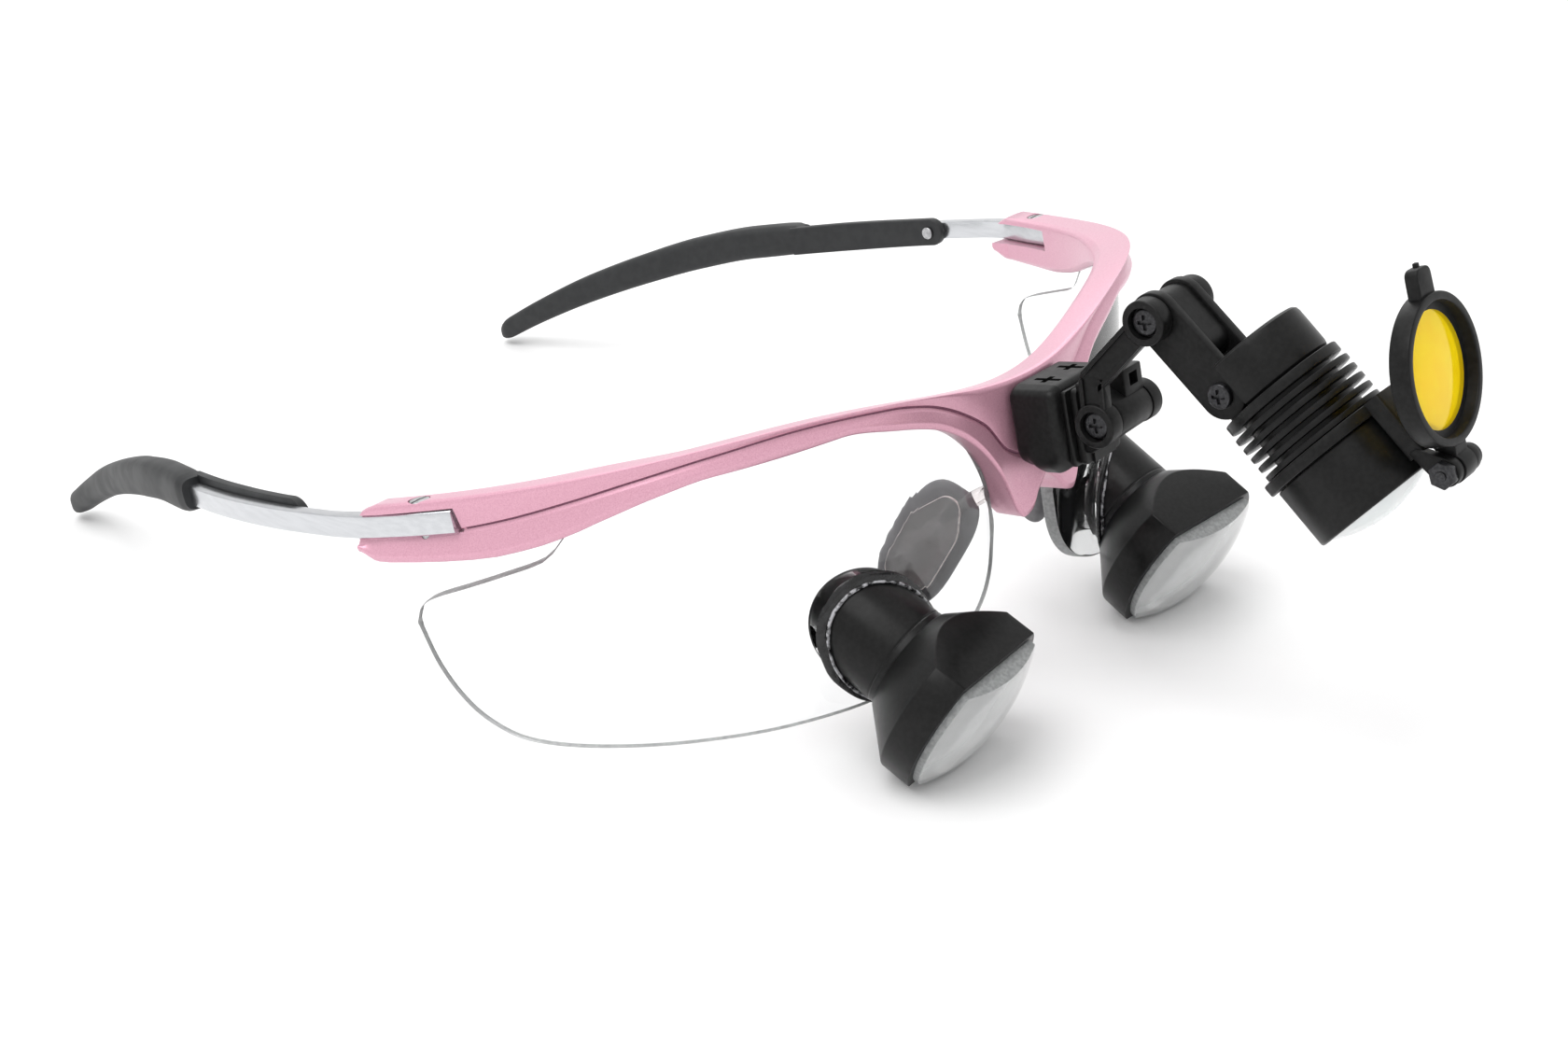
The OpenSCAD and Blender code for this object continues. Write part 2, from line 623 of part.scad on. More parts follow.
// ---- curing filter: hinge as [y, z] in the lamp's own frame ----
FILTER_HINGE = [11, 26];
FILTER_OPEN = -58;
FILTER_REACH = 11.2;
RING_HALF_T = 1.25;
HINGE_PIN_R = 0.6;
LUG_HALF = 1.45;
EAR_IN = 1.55;
EAR_OUT = 2.9;
KNUCKLE_R = 1.85;
EAR_R = 1.7;
BAR_LOW = 8.9;
BAR_TOP = 10.7;
BAR_HALF = 2.7;
GLASS_R = 7.3;
GLASS_T = 1;
module filter_clamp() {
    ring_z = groove_start + 0.1;
    ring_w = GROOVE_W - 0.2;
    color(BLACK) at_lamp() difference() {
        union() {
            translate([0, 0, ring_z]) cylinder(r = 9, h = ring_w);
            translate([-BAR_HALF, BAR_LOW - 0.6, ring_z]) cube([2*BAR_HALF, BAR_TOP - BAR_LOW + 0.6, ring_w]);
            translate([-BAR_HALF, BAR_LOW, ring_z]) cube([2*BAR_HALF, BAR_TOP - BAR_LOW, 22.6 - ring_z]);
            for (side = [-1, 1]) sided(side) hull() {
                translate([EAR_IN, BAR_LOW, 21.8]) cube([EAR_OUT - EAR_IN - 0.2, BAR_TOP - BAR_LOW - 0.6, 0.8]);
                at(FILTER_HINGE) along_x(EAR_R, EAR_IN, EAR_OUT, $fn = 32);
            }
        }
        translate([0, 0, ring_z - 1]) cylinder(r = GROOVE_R, h = ring_w + 2);
        rotate([0, 0, 240]) translate([0, 0, ring_z - 1]) cube([20, 20, ring_w + 2]);
        translate([0, BAR_LOW - 2, 18.6]) rotate([-90, 0, 0]) cylinder(r = 0.9, h = 6);
        at(FILTER_HINGE) along_x(HINGE_PIN_R, -4, 4);
    }
}
module at_filter() {
    at_lamp() at(FILTER_HINGE) rotate([FILTER_OPEN, 0, 0]) children();
}
module filter_frame() {
    color(BLACK) at_filter() difference() {
        union() {
            translate([0, FILTER_REACH, -RING_HALF_T]) cylinder(r = filter_radius, h = 2*RING_HALF_T);
            along_x(KNUCKLE_R, -LUG_HALF, LUG_HALF);
            translate([-LUG_HALF, 0, -1]) cube([2*LUG_HALF, 3.4, 2]);
            translate([-1.8, FILTER_REACH + filter_radius - 0.6, -0.8]) cube([3.6, 3.6, 1.6]);
            translate([-0.9, FILTER_REACH + filter_radius + 2.6, -0.8]) cube([1.8, 1, 1.6]);
        }
        translate([0, FILTER_REACH, -2]) cylinder(r = GLASS_R - 0.6, h = 4);
        translate([0, FILTER_REACH, -RING_HALF_T + 0.1]) cylinder(r = GLASS_R, h = GLASS_T);
        translate([0, FILTER_REACH, -RING_HALF_T + 0.1 + GLASS_T]) cylinder(r = GLASS_R + 0.3, h = 4);
        along_x(HINGE_PIN_R + CLEAR, -3, 3);
    }
}
module filter_glass() {
    color(AMBER) at_filter() translate([0, FILTER_REACH, -RING_HALF_T + 0.1]) cylinder(r = GLASS_R, h = GLASS_T);
}
module filter_hinge_screw() {
    color(BLACK) at_lamp() at(FILTER_HINGE) {
        along_x(HINGE_PIN_R, -EAR_OUT - 1.1, EAR_OUT);
        along_x(1.5, EAR_OUT, EAR_OUT + 0.8);
    }
}
module filter_hinge_nut() {
    color(BLACK) at_lamp() at(FILTER_HINGE) difference() {
        translate([-EAR_OUT - 1.1, 0, 0]) rotate([0, 90, 0]) hex(2.9, 1.1);
        along_x(HINGE_PIN_R, -6, 6);
    }
}

// ---- temples: centre line in plan as [x, y, thickness] ----
ARM_PATH = [
    [64.05, 39.5, 3.1], [65.9, 44, 3.1], [67.6, 48.4, 2.7], [69, 52.5, 2.1], [69.6, 58, arm_thick],
    [69.5, 66, arm_thick], [68.9, 74, arm_thick], [67.7, 83, arm_thick], [65.6, 93, arm_thick],
    [62.9, 103, arm_thick], [60.9, 110, arm_thick],
];
// Sleeve's centre line as [x, y, z, half height, half thickness]
SLEEVE_PATH = [
    [65.5, 93.4, 1, 2.3, 0.42], [65.1, 95, 1, 2.75, 0.5], [62.9, 103, 1, 2.85, 0.5],
    [59.9, 114, 0.1, 2.85, 0.5], [56.1, 126, -1.9, 2.7, 0.5], [52.4, 138, -4.6, 2.5, 0.5],
    [49.6, 149, -7.9, 2.2, 0.48], [47.9, 158.5, -11.3, 2, 0.44], [47.7, 160, -11.9, 1.5, 0.34],
];
FLAP_PATH = [
    [65, 1.2], [66.5, 2], [69, 2.3], [76, 2.4], [86, 2.5], [95.5, 2.4],
];
FLAP_T = 1.3;
RIVET_Y = 67.6;
function heading(path, i) = let (a = path[max(i - 1, 0)], b = path[min(i + 1, len(path) - 1)])
    unit([b[0] - a[0], b[1] - a[1]]);
function offset_point(path, i, reach) = let (d = heading(path, i))
    [path[i][0] + d[1]*reach, path[i][1] - d[0]*reach];
function arm_x(y) = lookup(y, [for (p = ARM_PATH) [p[1], p[0]]]);
module arm_outline(grow) {
    last = len(ARM_PATH) - 1;
    polygon(concat(
        [for (i = [0:last]) offset_point(ARM_PATH, i, ARM_PATH[i][2]/2 + grow)],
        [for (i = [last:-1:0]) offset_point(ARM_PATH, i, -ARM_PATH[i][2]/2 - grow)]));
}
module arm_blank(grow) {
    translate([0, 0, ARM_Z - arm_height/2 - grow]) linear_extrude(arm_height + 2*grow) arm_outline(grow);
}
module temple_arm(side) {
    color(SILVER) seated() sided(side) difference() {
        arm_blank(0);
        translate([hinge_x, HINGE_Y, -5]) cylinder(r = SCREW_R + CLEAR, h = 12);
        translate([arm_x(RIVET_Y) - 0.9, RIVET_Y, ARM_Z]) along_x(0.6, -3, 1);
    }
}
// Octagonal ring of the sleeve, thick along the plan normal and tall along z
function sleeve_ring(i) = let (
        p = SLEEVE_PATH[i], d = heading(SLEEVE_PATH, i), w = sleeve_thick*p[4], h = p[3], k = 0.55)
    [for (q = [[w, h*k], [w*k, h], [-w*k, h], [-w, h*k], [-w, -h*k], [-w*k, -h], [w*k, -h], [w, -h*k]])
        [p[0] + d[1]*q[0], p[1] - d[0]*q[0], p[2] + q[1]]];
function flap_ring(i) = let (
        p = FLAP_PATH[i], x = arm_x(p[0]) - arm_thick/2 - 0.04, h = p[1])
    [for (q = [[0, h], [-FLAP_T*0.7, h], [-FLAP_T, h*0.8], [-FLAP_T, -h*0.8], [-FLAP_T*0.7, -h], [0, -h]])
        [x + q[0], p[0], ARM_Z + q[1]]];
module temple_sleeve(side) {
    color(SATIN) seated() sided(side) difference() {
        union() {
            skin([for (i = [0:len(SLEEVE_PATH) - 1]) sleeve_ring(i)]);
            skin([for (i = [0:len(FLAP_PATH) - 1]) flap_ring(i)]);
        }
        arm_blank(0.01);
        translate([arm_x(RIVET_Y) - 0.9, RIVET_Y, ARM_Z]) along_x(0.6, -3, 1);
    }
}
module sleeve_rivet(side) {
    color(SILVER) seated() sided(side) translate([arm_x(RIVET_Y) - arm_thick/2, RIVET_Y, ARM_Z]) {
        along_x(0.6, -FLAP_T - 0.2, 0.8);
        along_x(1.25, -FLAP_T - 0.56, -FLAP_T - 0.14);
    }
}

frame_front();
seated() sided(-1) hinge_screw();  // right_hinge_screw
seated() sided(1) hinge_screw();  // left_hinge_screw
carrier_lens(-1);  // right_carrier_lens
carrier_lens(1);  // left_carrier_lens
pad_arm(-1);  // right_pad_arm
pad_arm(1);  // left_pad_arm
nose_pad(-1);  // right_nose_pad
nose_pad(1);  // left_nose_pad
barrel(-1);  // right_barrel
barrel(1);  // left_barrel
mount_collar(-1);  // right_mount_collar
mount_collar(1);  // left_mount_collar
loupe_piece(-1, BLACK) objective_housing();  // right_objective_housing
loupe_piece(1, BLACK) objective_housing();  // left_objective_housing
loupe_piece(-1, CLEAR_GLASS) objective_lens();  // right_objective_lens
loupe_piece(1, CLEAR_GLASS) objective_lens();  // left_objective_lens
loupe_piece(-1, SATIN) objective_retainer();  // right_objective_retainer
loupe_piece(1, SATIN) objective_retainer();  // left_objective_retainer
loupe_piece(-1, CLEAR_GLASS) eyepiece_lens();  // right_eyepiece_lens
loupe_piece(1, CLEAR_GLASS) eyepiece_lens();  // left_eyepiece_lens
loupe_piece(-1, SATIN) eyepiece_ring();  // right_eyepiece_ring
loupe_piece(1, SATIN) eyepiece_ring();  // left_eyepiece_ring
bridge_block();
bridge_screws();
dovetail_rail();
temple_arm(-1);  // right_temple_arm
temple_arm(1);  // left_temple_arm
temple_sleeve(-1);  // right_temple_sleeve
temple_sleeve(1);  // left_temple_sleeve
sleeve_rivet(-1);  // right_sleeve_rivet
sleeve_rivet(1);  // left_sleeve_rivet
lamp_bracket();
color(SATIN) seated() at(LOWER_PIVOT) pivot_screw(RECESSED_HEAD, 5, 1.7);  // lower_pivot_screw
color(BLACK) seated() at(LOWER_PIVOT) cap_nut(EAR_HALF + 0.02, 5.9);  // lower_pivot_nut
lower_link();
color(SATIN) seated() at(UPPER_PIVOT) pivot_screw(RECESSED_HEAD, 5, 1.7);  // upper_pivot_screw
color(BLACK) seated() at(UPPER_PIVOT) cap_nut(BOSS_IN, 6.2);  // upper_pivot_nut
upper_link();
color(SATIN) seated() at(LAMP_PIVOT) pivot_screw(-PLATE_OUT - HEAD_THICK, 4.6, 1.6);  // lamp_pivot_screw
color(BLACK) seated() at(LAMP_PIVOT) difference() {  // lamp_pivot_nut
        translate([PLATE_OUT, 0, 0]) rotate([0, 90, 0]) hex(3.4, 1.3);
        along_x(PIVOT_R, 0, 8);
    }
lamp_rear_cap();
power_socket();
heat_sink();
lamp_front_sleeve();
lamp_window();
led_board();
led_chip();
collimator();
filter_clamp();
filter_hinge_screw();
filter_hinge_nut();
filter_frame();
filter_glass();
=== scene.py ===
"""Dental loupes: a half-rim frame with two telescopes and a jointed headlight with a flip-over filter.

Shapes are drawn in millimetres in the CAD model's own frames and placed in metres by piece().
The worn frame has x to the wearer's left, -y forward and z up, with its origin on the brow ridge.
"""

import json
import math

import bpy
from mathutils import Matrix, Vector
from mathutils.geometry import convex_hull_2d


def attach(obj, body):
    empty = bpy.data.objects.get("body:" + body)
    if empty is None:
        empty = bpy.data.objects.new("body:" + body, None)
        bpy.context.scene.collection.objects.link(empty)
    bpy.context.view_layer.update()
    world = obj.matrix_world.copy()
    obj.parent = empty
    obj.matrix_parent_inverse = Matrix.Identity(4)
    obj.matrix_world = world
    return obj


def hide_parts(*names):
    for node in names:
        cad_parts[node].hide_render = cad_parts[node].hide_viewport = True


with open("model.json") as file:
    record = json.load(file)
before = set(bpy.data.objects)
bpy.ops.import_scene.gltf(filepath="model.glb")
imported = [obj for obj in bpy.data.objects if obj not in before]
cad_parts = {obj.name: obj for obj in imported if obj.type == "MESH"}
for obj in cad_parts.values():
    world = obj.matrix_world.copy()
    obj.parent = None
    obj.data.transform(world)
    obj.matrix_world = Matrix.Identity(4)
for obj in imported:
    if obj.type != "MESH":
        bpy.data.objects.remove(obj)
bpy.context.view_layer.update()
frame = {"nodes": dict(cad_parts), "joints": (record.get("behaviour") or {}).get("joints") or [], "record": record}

# ---- camera: place in metres, angles in degrees ----
CAMERA_PLACE = (-0.214608, -0.192299, 0.144696)
CAMERA_AZIMUTH = -48.862
CAMERA_ELEVATION = 25.305
CAMERA_ROLL = -2.852
CAMERA_LENS = 49.406


def linked(name, data):
    """A new object in the scene that shows this data."""
    thing = bpy.data.objects.new(name, data)
    bpy.context.scene.collection.objects.link(thing)
    return thing


def shift(x, y, z):
    return Matrix.Translation((x, y, z))


def spin(degrees, axis):
    return Matrix.Rotation(math.radians(degrees), 4, axis)


def make_camera():
    data = bpy.data.cameras.new("camera")
    data.lens = CAMERA_LENS
    data.sensor_width = 36
    data.clip_start = 0.01
    data.clip_end = 20
    camera = linked("camera", data)
    tilt = spin(90 - CAMERA_ELEVATION, "X")
    camera.matrix_world = shift(*CAMERA_PLACE) @ spin(CAMERA_AZIMUTH, "Z") @ tilt @ spin(CAMERA_ROLL, "Z")
    bpy.context.scene.camera = camera


make_camera()

# ---- frames, in millimetres ----
LEFT_HINGE = Vector((65.9, 44, 0.8))
fold = next(joint for joint in frame["joints"] if joint["name"] == "left_temple_fold")
seat_pitch = math.atan2(fold["axis"][1], fold["axis"][2])
seat_turn = Matrix.Rotation(-seat_pitch, 4, "X")
seat_shift = Vector(fold["pos_m"]) * 1000 - seat_turn @ LEFT_HINGE
WORN = Matrix.Scale(0.001, 4) @ Matrix.Translation(seat_shift) @ seat_turn
MIRROR = Matrix.Scale(-1, 4, (1, 0, 0))
HERE = Matrix.Identity(4)
# Swaps axes so that an outline in (y, z) is extruded along x
ACROSS = Matrix(((0, 0, 1, 0), (1, 0, 0, 0), (0, 1, 0, 0), (0, 0, 0, 1)))
# Swaps axes so that an outline in (x, z) is extruded along -y
FORWARD = Matrix(((1, 0, 0, 0), (0, 0, -1, 0), (0, 1, 0, 0), (0, 0, 0, 1)))
LOUPE = shift(26.1, -1.95, -36.05) @ spin(-5.35, "Z") @ spin(90 + 37.3, "X")
PAD = shift(12, 13.2, -20.3) @ spin(-24, "Z") @ spin(-14, "Y") @ spin(38, "X")
LAMP = shift(0, -31.2, 3.6) @ spin(90 + 51.8, "X")
FILTER = LAMP @ shift(0, 11, 26) @ spin(-58, "X")
SIDES = {"left": HERE, "right": MIRROR}


# ---- building shapes ----
def fractions(steps):
    """Even steps from 0 to 1, both ends included."""
    return [i / steps for i in range(steps + 1)]


def rectangle(x0, x1, y0, y1):
    return [(x0, y0), (x1, y0), (x1, y1), (x0, y1)]


def solid(points, faces):
    mesh = bpy.data.meshes.new("shape")
    mesh.from_pydata([tuple(p) for p in points], [], faces)
    mesh.validate()
    return linked("shape", mesh)


def moved(shape, matrix):
    shape.data.transform(matrix)
    if matrix.determinant() < 0:
        shape.data.flip_normals()
    return shape


def baked(shape):
    graph = bpy.context.evaluated_depsgraph_get()
    mesh = bpy.data.meshes.new_from_object(shape.evaluated_get(graph))
    shape.modifiers.clear()
    shape.data = mesh
    return shape


def combined(shape, operation, tools):
    for tool in tools:
        step = shape.modifiers.new("combine", "BOOLEAN")
        step.operation = operation
        step.solver = "EXACT"
        step.object = tool
    baked(shape)
    for tool in tools:
        bpy.data.objects.remove(tool)
    return shape


def cut(shape, *tools):
    return combined(shape, "DIFFERENCE", tools)


def joined(shape, *tools):
    return combined(shape, "UNION", tools)


def softened(shape, width, steps=2, angle=30):
    step = shape.modifiers.new("soften", "BEVEL")
    step.width = width
    step.segments = steps
    step.limit_method = "ANGLE"
    step.angle_limit = math.radians(angle)
    step.use_clamp_overlap = True
    return baked(shape)


def skin(rings, closed=False):
    """A solid through rings of equal length, capped at both ends unless it closes on itself."""
    count, size = len(rings), len(rings[0])
    points = [p for ring in rings for p in ring]
    spans = count if closed else count - 1
    faces = []
    for i in range(spans):
        a, b = i * size, (i + 1) % count * size
        for j in range(size):
            k = (j + 1) % size
            faces.append((a + j, b + j, b + k, a + k))
    if not closed:
        faces.append(tuple(range(size)))
        faces.append(tuple(reversed(range((count - 1) * size, count * size))))
    return outward(solid(points, faces))


def outward(shape):
    """Flips the faces if they enclose a negative volume."""
    volume = 0.0
    places = [v.co for v in shape.data.vertices]
    for face in shape.data.polygons:
        first = places[face.vertices[0]]
        for b, c in zip(face.vertices[1:], face.vertices[2:]):
            volume += first.dot(places[b].cross(places[c]))
    if volume < 0:
        shape.data.flip_normals()
    return shape


def rounded(corners, radius=0.0, steps=3):
    """A closed outline with an arc at each corner; a corner's third value is its own radius."""
    outline = []
    for i, corner in enumerate(corners):
        here = Vector(corner[:2])
        back = Vector(corners[i - 1][:2]) - here
        ahead = Vector(corners[(i + 1) % len(corners)][:2]) - here
        size = corner[2] if len(corner) > 2 else radius
        if size <= 0:
            outline.append(tuple(here))
            continue
        reach = size / math.tan(back.angle(ahead) / 2)
        reach = min(reach, 0.48 * back.length, 0.48 * ahead.length)
        start, end = here + back.normalized() * reach, here + ahead.normalized() * reach
        for k in range(steps + 1):
            t = k / steps
            outline.append(tuple(start * (1 - t) ** 2 + here * 2 * t * (1 - t) + end * t * t))
    return outline


def turned(outline, segments=96):
    """A solid turned about z from a closed outline of (radius, z)."""
    points, rings, faces = [], [], []
    for radius, z in outline:
        count = segments if radius > 1e-6 else 1
        rings.append((len(points), count))
        for k in range(count):
            angle = 2 * math.pi * k / count
            points.append((radius * math.cos(angle), radius * math.sin(angle), z))
    for (a, a_count), (b, b_count) in zip(rings, rings[1:] + rings[:1]):
        if a_count == b_count == 1:
            continue
        for k in range(segments):
            n = (k + 1) % segments
            quad = (a + k % a_count, a + n % a_count, b + n % b_count, b + k % b_count)
            faces.append(tuple(dict.fromkeys(quad)))
    return outward(solid(points, faces))


def disc(radius, low, high, edge=0.0, segments=64):
    corners = [(0, low, 0), (radius, low, edge), (radius, high, edge), (0, high, 0)]
    return turned(rounded(corners), segments)


def tube_ring(inner, outer, low, high, edge=0.0, segments=96):
    return turned(rounded(rectangle(inner, outer, low, high), edge), segments)


def rod(radius, x0, x1, centre=(0, 0), edge=0.0, segments=48):
    """A round bar along x about a point in (y, z)."""
    return moved(disc(radius, x0, x1, edge, segments), shift(0, *centre) @ spin(90, "Y"))


def prism(outline, low, high, place=HERE):
    rings = [[(p[0], p[1], level) for p in outline] for level in (low, high)]
    return moved(skin(rings), place)


def block(x0, x1, y0, y1, z0, z1):
    return prism(rectangle(x0, x1, y0, y1), z0, z1)


def circle(centre, radius, count=40):
    turn = 2 * math.pi / count
    return [Vector(centre) + Vector((math.cos(k * turn), math.sin(k * turn))) * radius for k in range(count)]


def wrapped(points):
    """The convex outline round a list of points."""
    points = [Vector(p) for p in points]
    return [points[i] for i in convex_hull_2d(points)]


def bar(p, q, radius, x0, x1):
    """A round-ended plate between two points in (y, z), from x0 to x1."""
    return prism(wrapped(circle(p, radius) + circle(q, radius)), x0, x1, ACROSS)


def through(table):
    """A smooth function through a table's points, level beyond its ends."""
    xs, ys = zip(*table)
    steps = [(ys[i + 1] - ys[i]) / (xs[i + 1] - xs[i]) for i in range(len(xs) - 1)]
    inner = [0 if a * b <= 0 else 2 * a * b / (a + b) for a, b in zip(steps, steps[1:])]
    slopes = [steps[0], *inner, steps[-1]]

    def value(x):
        x = min(max(x, xs[0]), xs[-1])
        i = max(k for k in range(len(steps)) if xs[k] <= x)
        span = xs[i + 1] - xs[i]
        t = (x - xs[i]) / span
        rise = (2 * t**3 - 3 * t**2 + 1) * ys[i] + (3 * t**2 - 2 * t**3) * ys[i + 1]
        return rise + span * ((t**3 - 2 * t**2 + t) * slopes[i] + (t**3 - t**2) * slopes[i + 1])

    return value


def eased(t, low, high):
    """0 below low and 1 above high, with a smooth step between."""
    s = min(max((t - low) / (high - low), 0), 1)
    return s * s * (3 - 2 * s)


def oval(half_a, half_b, power, count=40):
    """A superellipse as (a, b) pairs."""
    result = []
    for k in range(count):
        angle = 2 * math.pi * k / count
        c, s = math.cos(angle), math.sin(angle)
        scale = (abs(c) ** power + abs(s) ** power) ** (-1 / power)
        result.append((half_a * c * scale, half_b * s * scale))
    return result


def pillow(half_x, half_y, half_z, edge, power=2.5):
    """A soft-edged pad whose outline in (y, z) is a superellipse."""
    rings = []
    for k in range(-8, 9):
        angle = k / 8 * math.pi / 2
        inset = edge * (1 - math.cos(angle))
        x = half_x * math.sin(angle)
        rings.append([(x, a, b) for a, b in oval(half_y - inset, half_z - inset, power, 56)])
    return skin(rings)


def cross_recess(width, depth):
    """The cutter for a cross in a screw head, down from z = 0."""
    long, short = width / 2, 0.24
    slots = []
    for a, b in ((long, short), (short, long)):
        slots.append(prism(rounded(rectangle(-a, a, -b, b), 0.08), -depth, 1))
    return joined(*slots)


# ---- materials ----
def grey(level):
    return (level, level, level)


def noise(material, size, stretch=(1, 1, 1), detail=3):
    """A noise node whose features are about size millimetres across."""
    tree = material.node_tree
    place = tree.nodes.new("ShaderNodeTexCoord")
    mapping = tree.nodes.new("ShaderNodeMapping")
    mapping.inputs["Scale"].default_value = stretch
    texture = tree.nodes.new("ShaderNodeTexNoise")
    texture.inputs["Scale"].default_value = 1000 / size
    texture.inputs["Detail"].default_value = detail
    tree.links.new(place.outputs["Object"], mapping.inputs["Vector"])
    tree.links.new(mapping.outputs["Vector"], texture.inputs["Vector"])
    return texture.outputs["Fac"]


def connect(material, output, socket):
    tree = material.node_tree
    tree.links.new(output, tree.nodes["Principled BSDF"].inputs[socket])


def mottled(material, low, high, size, stretch=(1, 1, 1), spread=0.12):
    """Varies the base colour between two tones."""
    tree = material.node_tree
    ramp = tree.nodes.new("ShaderNodeValToRGB")
    ramp.color_ramp.elements[0].position = 0.5 - spread
    ramp.color_ramp.elements[1].position = 0.5 + spread
    ramp.color_ramp.elements[0].color = (*low, 1)
    ramp.color_ramp.elements[1].color = (*high, 1)
    tree.links.new(noise(material, size, stretch), ramp.inputs["Fac"])
    connect(material, ramp.outputs["Color"], "Base Color")


def worn_gloss(material, low, high, size, stretch=(1, 1, 1)):
    """Varies the roughness between two values."""
    tree = material.node_tree
    spread = tree.nodes.new("ShaderNodeMapRange")
    spread.inputs["From Min"].default_value = 0.35
    spread.inputs["From Max"].default_value = 0.65
    spread.inputs["To Min"].default_value = low
    spread.inputs["To Max"].default_value = high
    tree.links.new(noise(material, size, stretch), spread.inputs["Value"])
    connect(material, spread.outputs["Result"], "Roughness")


def grained(material, size, strength, stretch=(1, 1, 1)):
    """Adds a fine bump."""
    tree = material.node_tree
    bump = tree.nodes.new("ShaderNodeBump")
    bump.inputs["Strength"].default_value = strength
    bump.inputs["Distance"].default_value = size / 30000
    tree.links.new(noise(material, size, stretch), bump.inputs["Height"])
    connect(material, bump.outputs["Normal"], "Normal")


FINISHES = {}


def surface(slot, name, colour, roughness, metallic=0.0, tones=None, gloss=None, grain=None, **sockets):
    """Adds a material to FINISHES; other keywords are its shader's sockets with _ for a space.

    tones, gloss and grain are what mottled, worn_gloss and grained are given.
    """
    material = bpy.data.materials.new(name)
    material.use_nodes = True
    inputs = material.node_tree.nodes["Principled BSDF"].inputs
    inputs["Base Color"].default_value = (*colour, 1)
    inputs["Roughness"].default_value = roughness
    inputs["Metallic"].default_value = metallic
    for socket, value in sockets.items():
        inputs[socket.replace("_", " ")].default_value = value
    if tones:
        mottled(material, *tones)
    if gloss:
        worn_gloss(material, *gloss)
    if grain:
        grained(material, *grain)
    FINISHES[slot] = material


EVEN = (1, 1, 1)
# One for each slot, a few for parts of pieces and one for the floor
surface(
    "frame_paint", "pink_pearl_paint", (0.66, 0.345, 0.44), 0.36, 0.45,
    tones=((0.6, 0.295, 0.385), (0.71, 0.385, 0.485), 0.16, EVEN, 0.2),
    gloss=(0.31, 0.4, 0.4), grain=(0.12, 0.4), Coat_Weight=0.3, Coat_Roughness=0.2,
)
# Painted shade: a dark pink for the faces in the brow's crease groove, where shade falls
surface(
    "crease_painted_shade", "shaded_pink_paint", (0.2, 0.08, 0.12), 0.5, 0.3,
    tones=((0.16, 0.06, 0.1), (0.24, 0.1, 0.15), 0.3), grain=(0.12, 0.4),
)
surface(
    "steel", "satin_steel", (0.42, 0.42, 0.43), 0.34, 1.0,
    tones=((0.34, 0.34, 0.35), (0.5, 0.5, 0.51), 0.5), grain=(0.1, 0.15),
)
surface(
    "carrier_glass", "carrier_lens_glass", (0.98, 0.99, 0.99), 0.02,
    gloss=(0.0, 0.03, 9), Transmission_Weight=1.0, IOR=1.46,
)
surface(
    "pad_plastic", "clear_pad_plastic", (0.96, 0.9, 0.89), 0.08,
    tones=((0.93, 0.86, 0.85), (0.98, 0.94, 0.93), 3),
    gloss=(0.04, 0.14, 2), Transmission_Weight=0.97, IOR=1.46,
)
# Painted highlight: a paler, less clear finish for the pad plate's edge faces, so they show as bright outlines
surface(
    "pad_edge_highlight", "clear_plastic_painted_edge_highlight", (0.82, 0.72, 0.7), 0.3,
    tones=((0.76, 0.66, 0.64), (0.88, 0.79, 0.77), 1.2),
    gloss=(0.22, 0.38, 1), Transmission_Weight=0.3, IOR=1.46,
)
surface(
    "pad_silicone", "grey_silicone", (0.07, 0.068, 0.074), 0.42,
    tones=((0.058, 0.056, 0.062), (0.085, 0.082, 0.09), 2),
    grain=(0.3, 0.1), Transmission_Weight=0.1, IOR=1.41,
)
surface(
    "anodised_black", "black_anodised", grey(0.007), 0.3,
    tones=(grey(0.005), grey(0.008), 0.6),
    gloss=(0.29, 0.35, 2), grain=(0.2, 0.12), Specular_IOR_Level=0.2,
)
surface(
    "adhesive_black", "black_adhesive", (0.006, 0.006, 0.007), 0.15,
    tones=(grey(0.004), (0.012, 0.012, 0.013), 0.8),
    gloss=(0.1, 0.3, 1.1), grain=(0.9, 3), Specular_IOR_Level=0.45,
)
# Painted glints: near black with small patches of light grey that stand in for the bead's broken highlights
surface(
    "adhesive_bead_painted_glints", "glossy_adhesive_bead", (0.1, 0.1, 0.105), 0.12,
    tones=((0.01, 0.01, 0.011), (0.42, 0.42, 0.44), 0.9, EVEN, 0.08),
    grain=(0.5, 2), Coat_Weight=0.6,
)
surface(
    "optic_glass", "objective_glass", (0.86, 0.87, 0.87), 0.03,
    tones=((0.82, 0.83, 0.83), (0.9, 0.91, 0.91), 5),
    gloss=(0.01, 0.06, 6), Transmission_Weight=0.66, IOR=1.5, Coat_Weight=0.5,
)
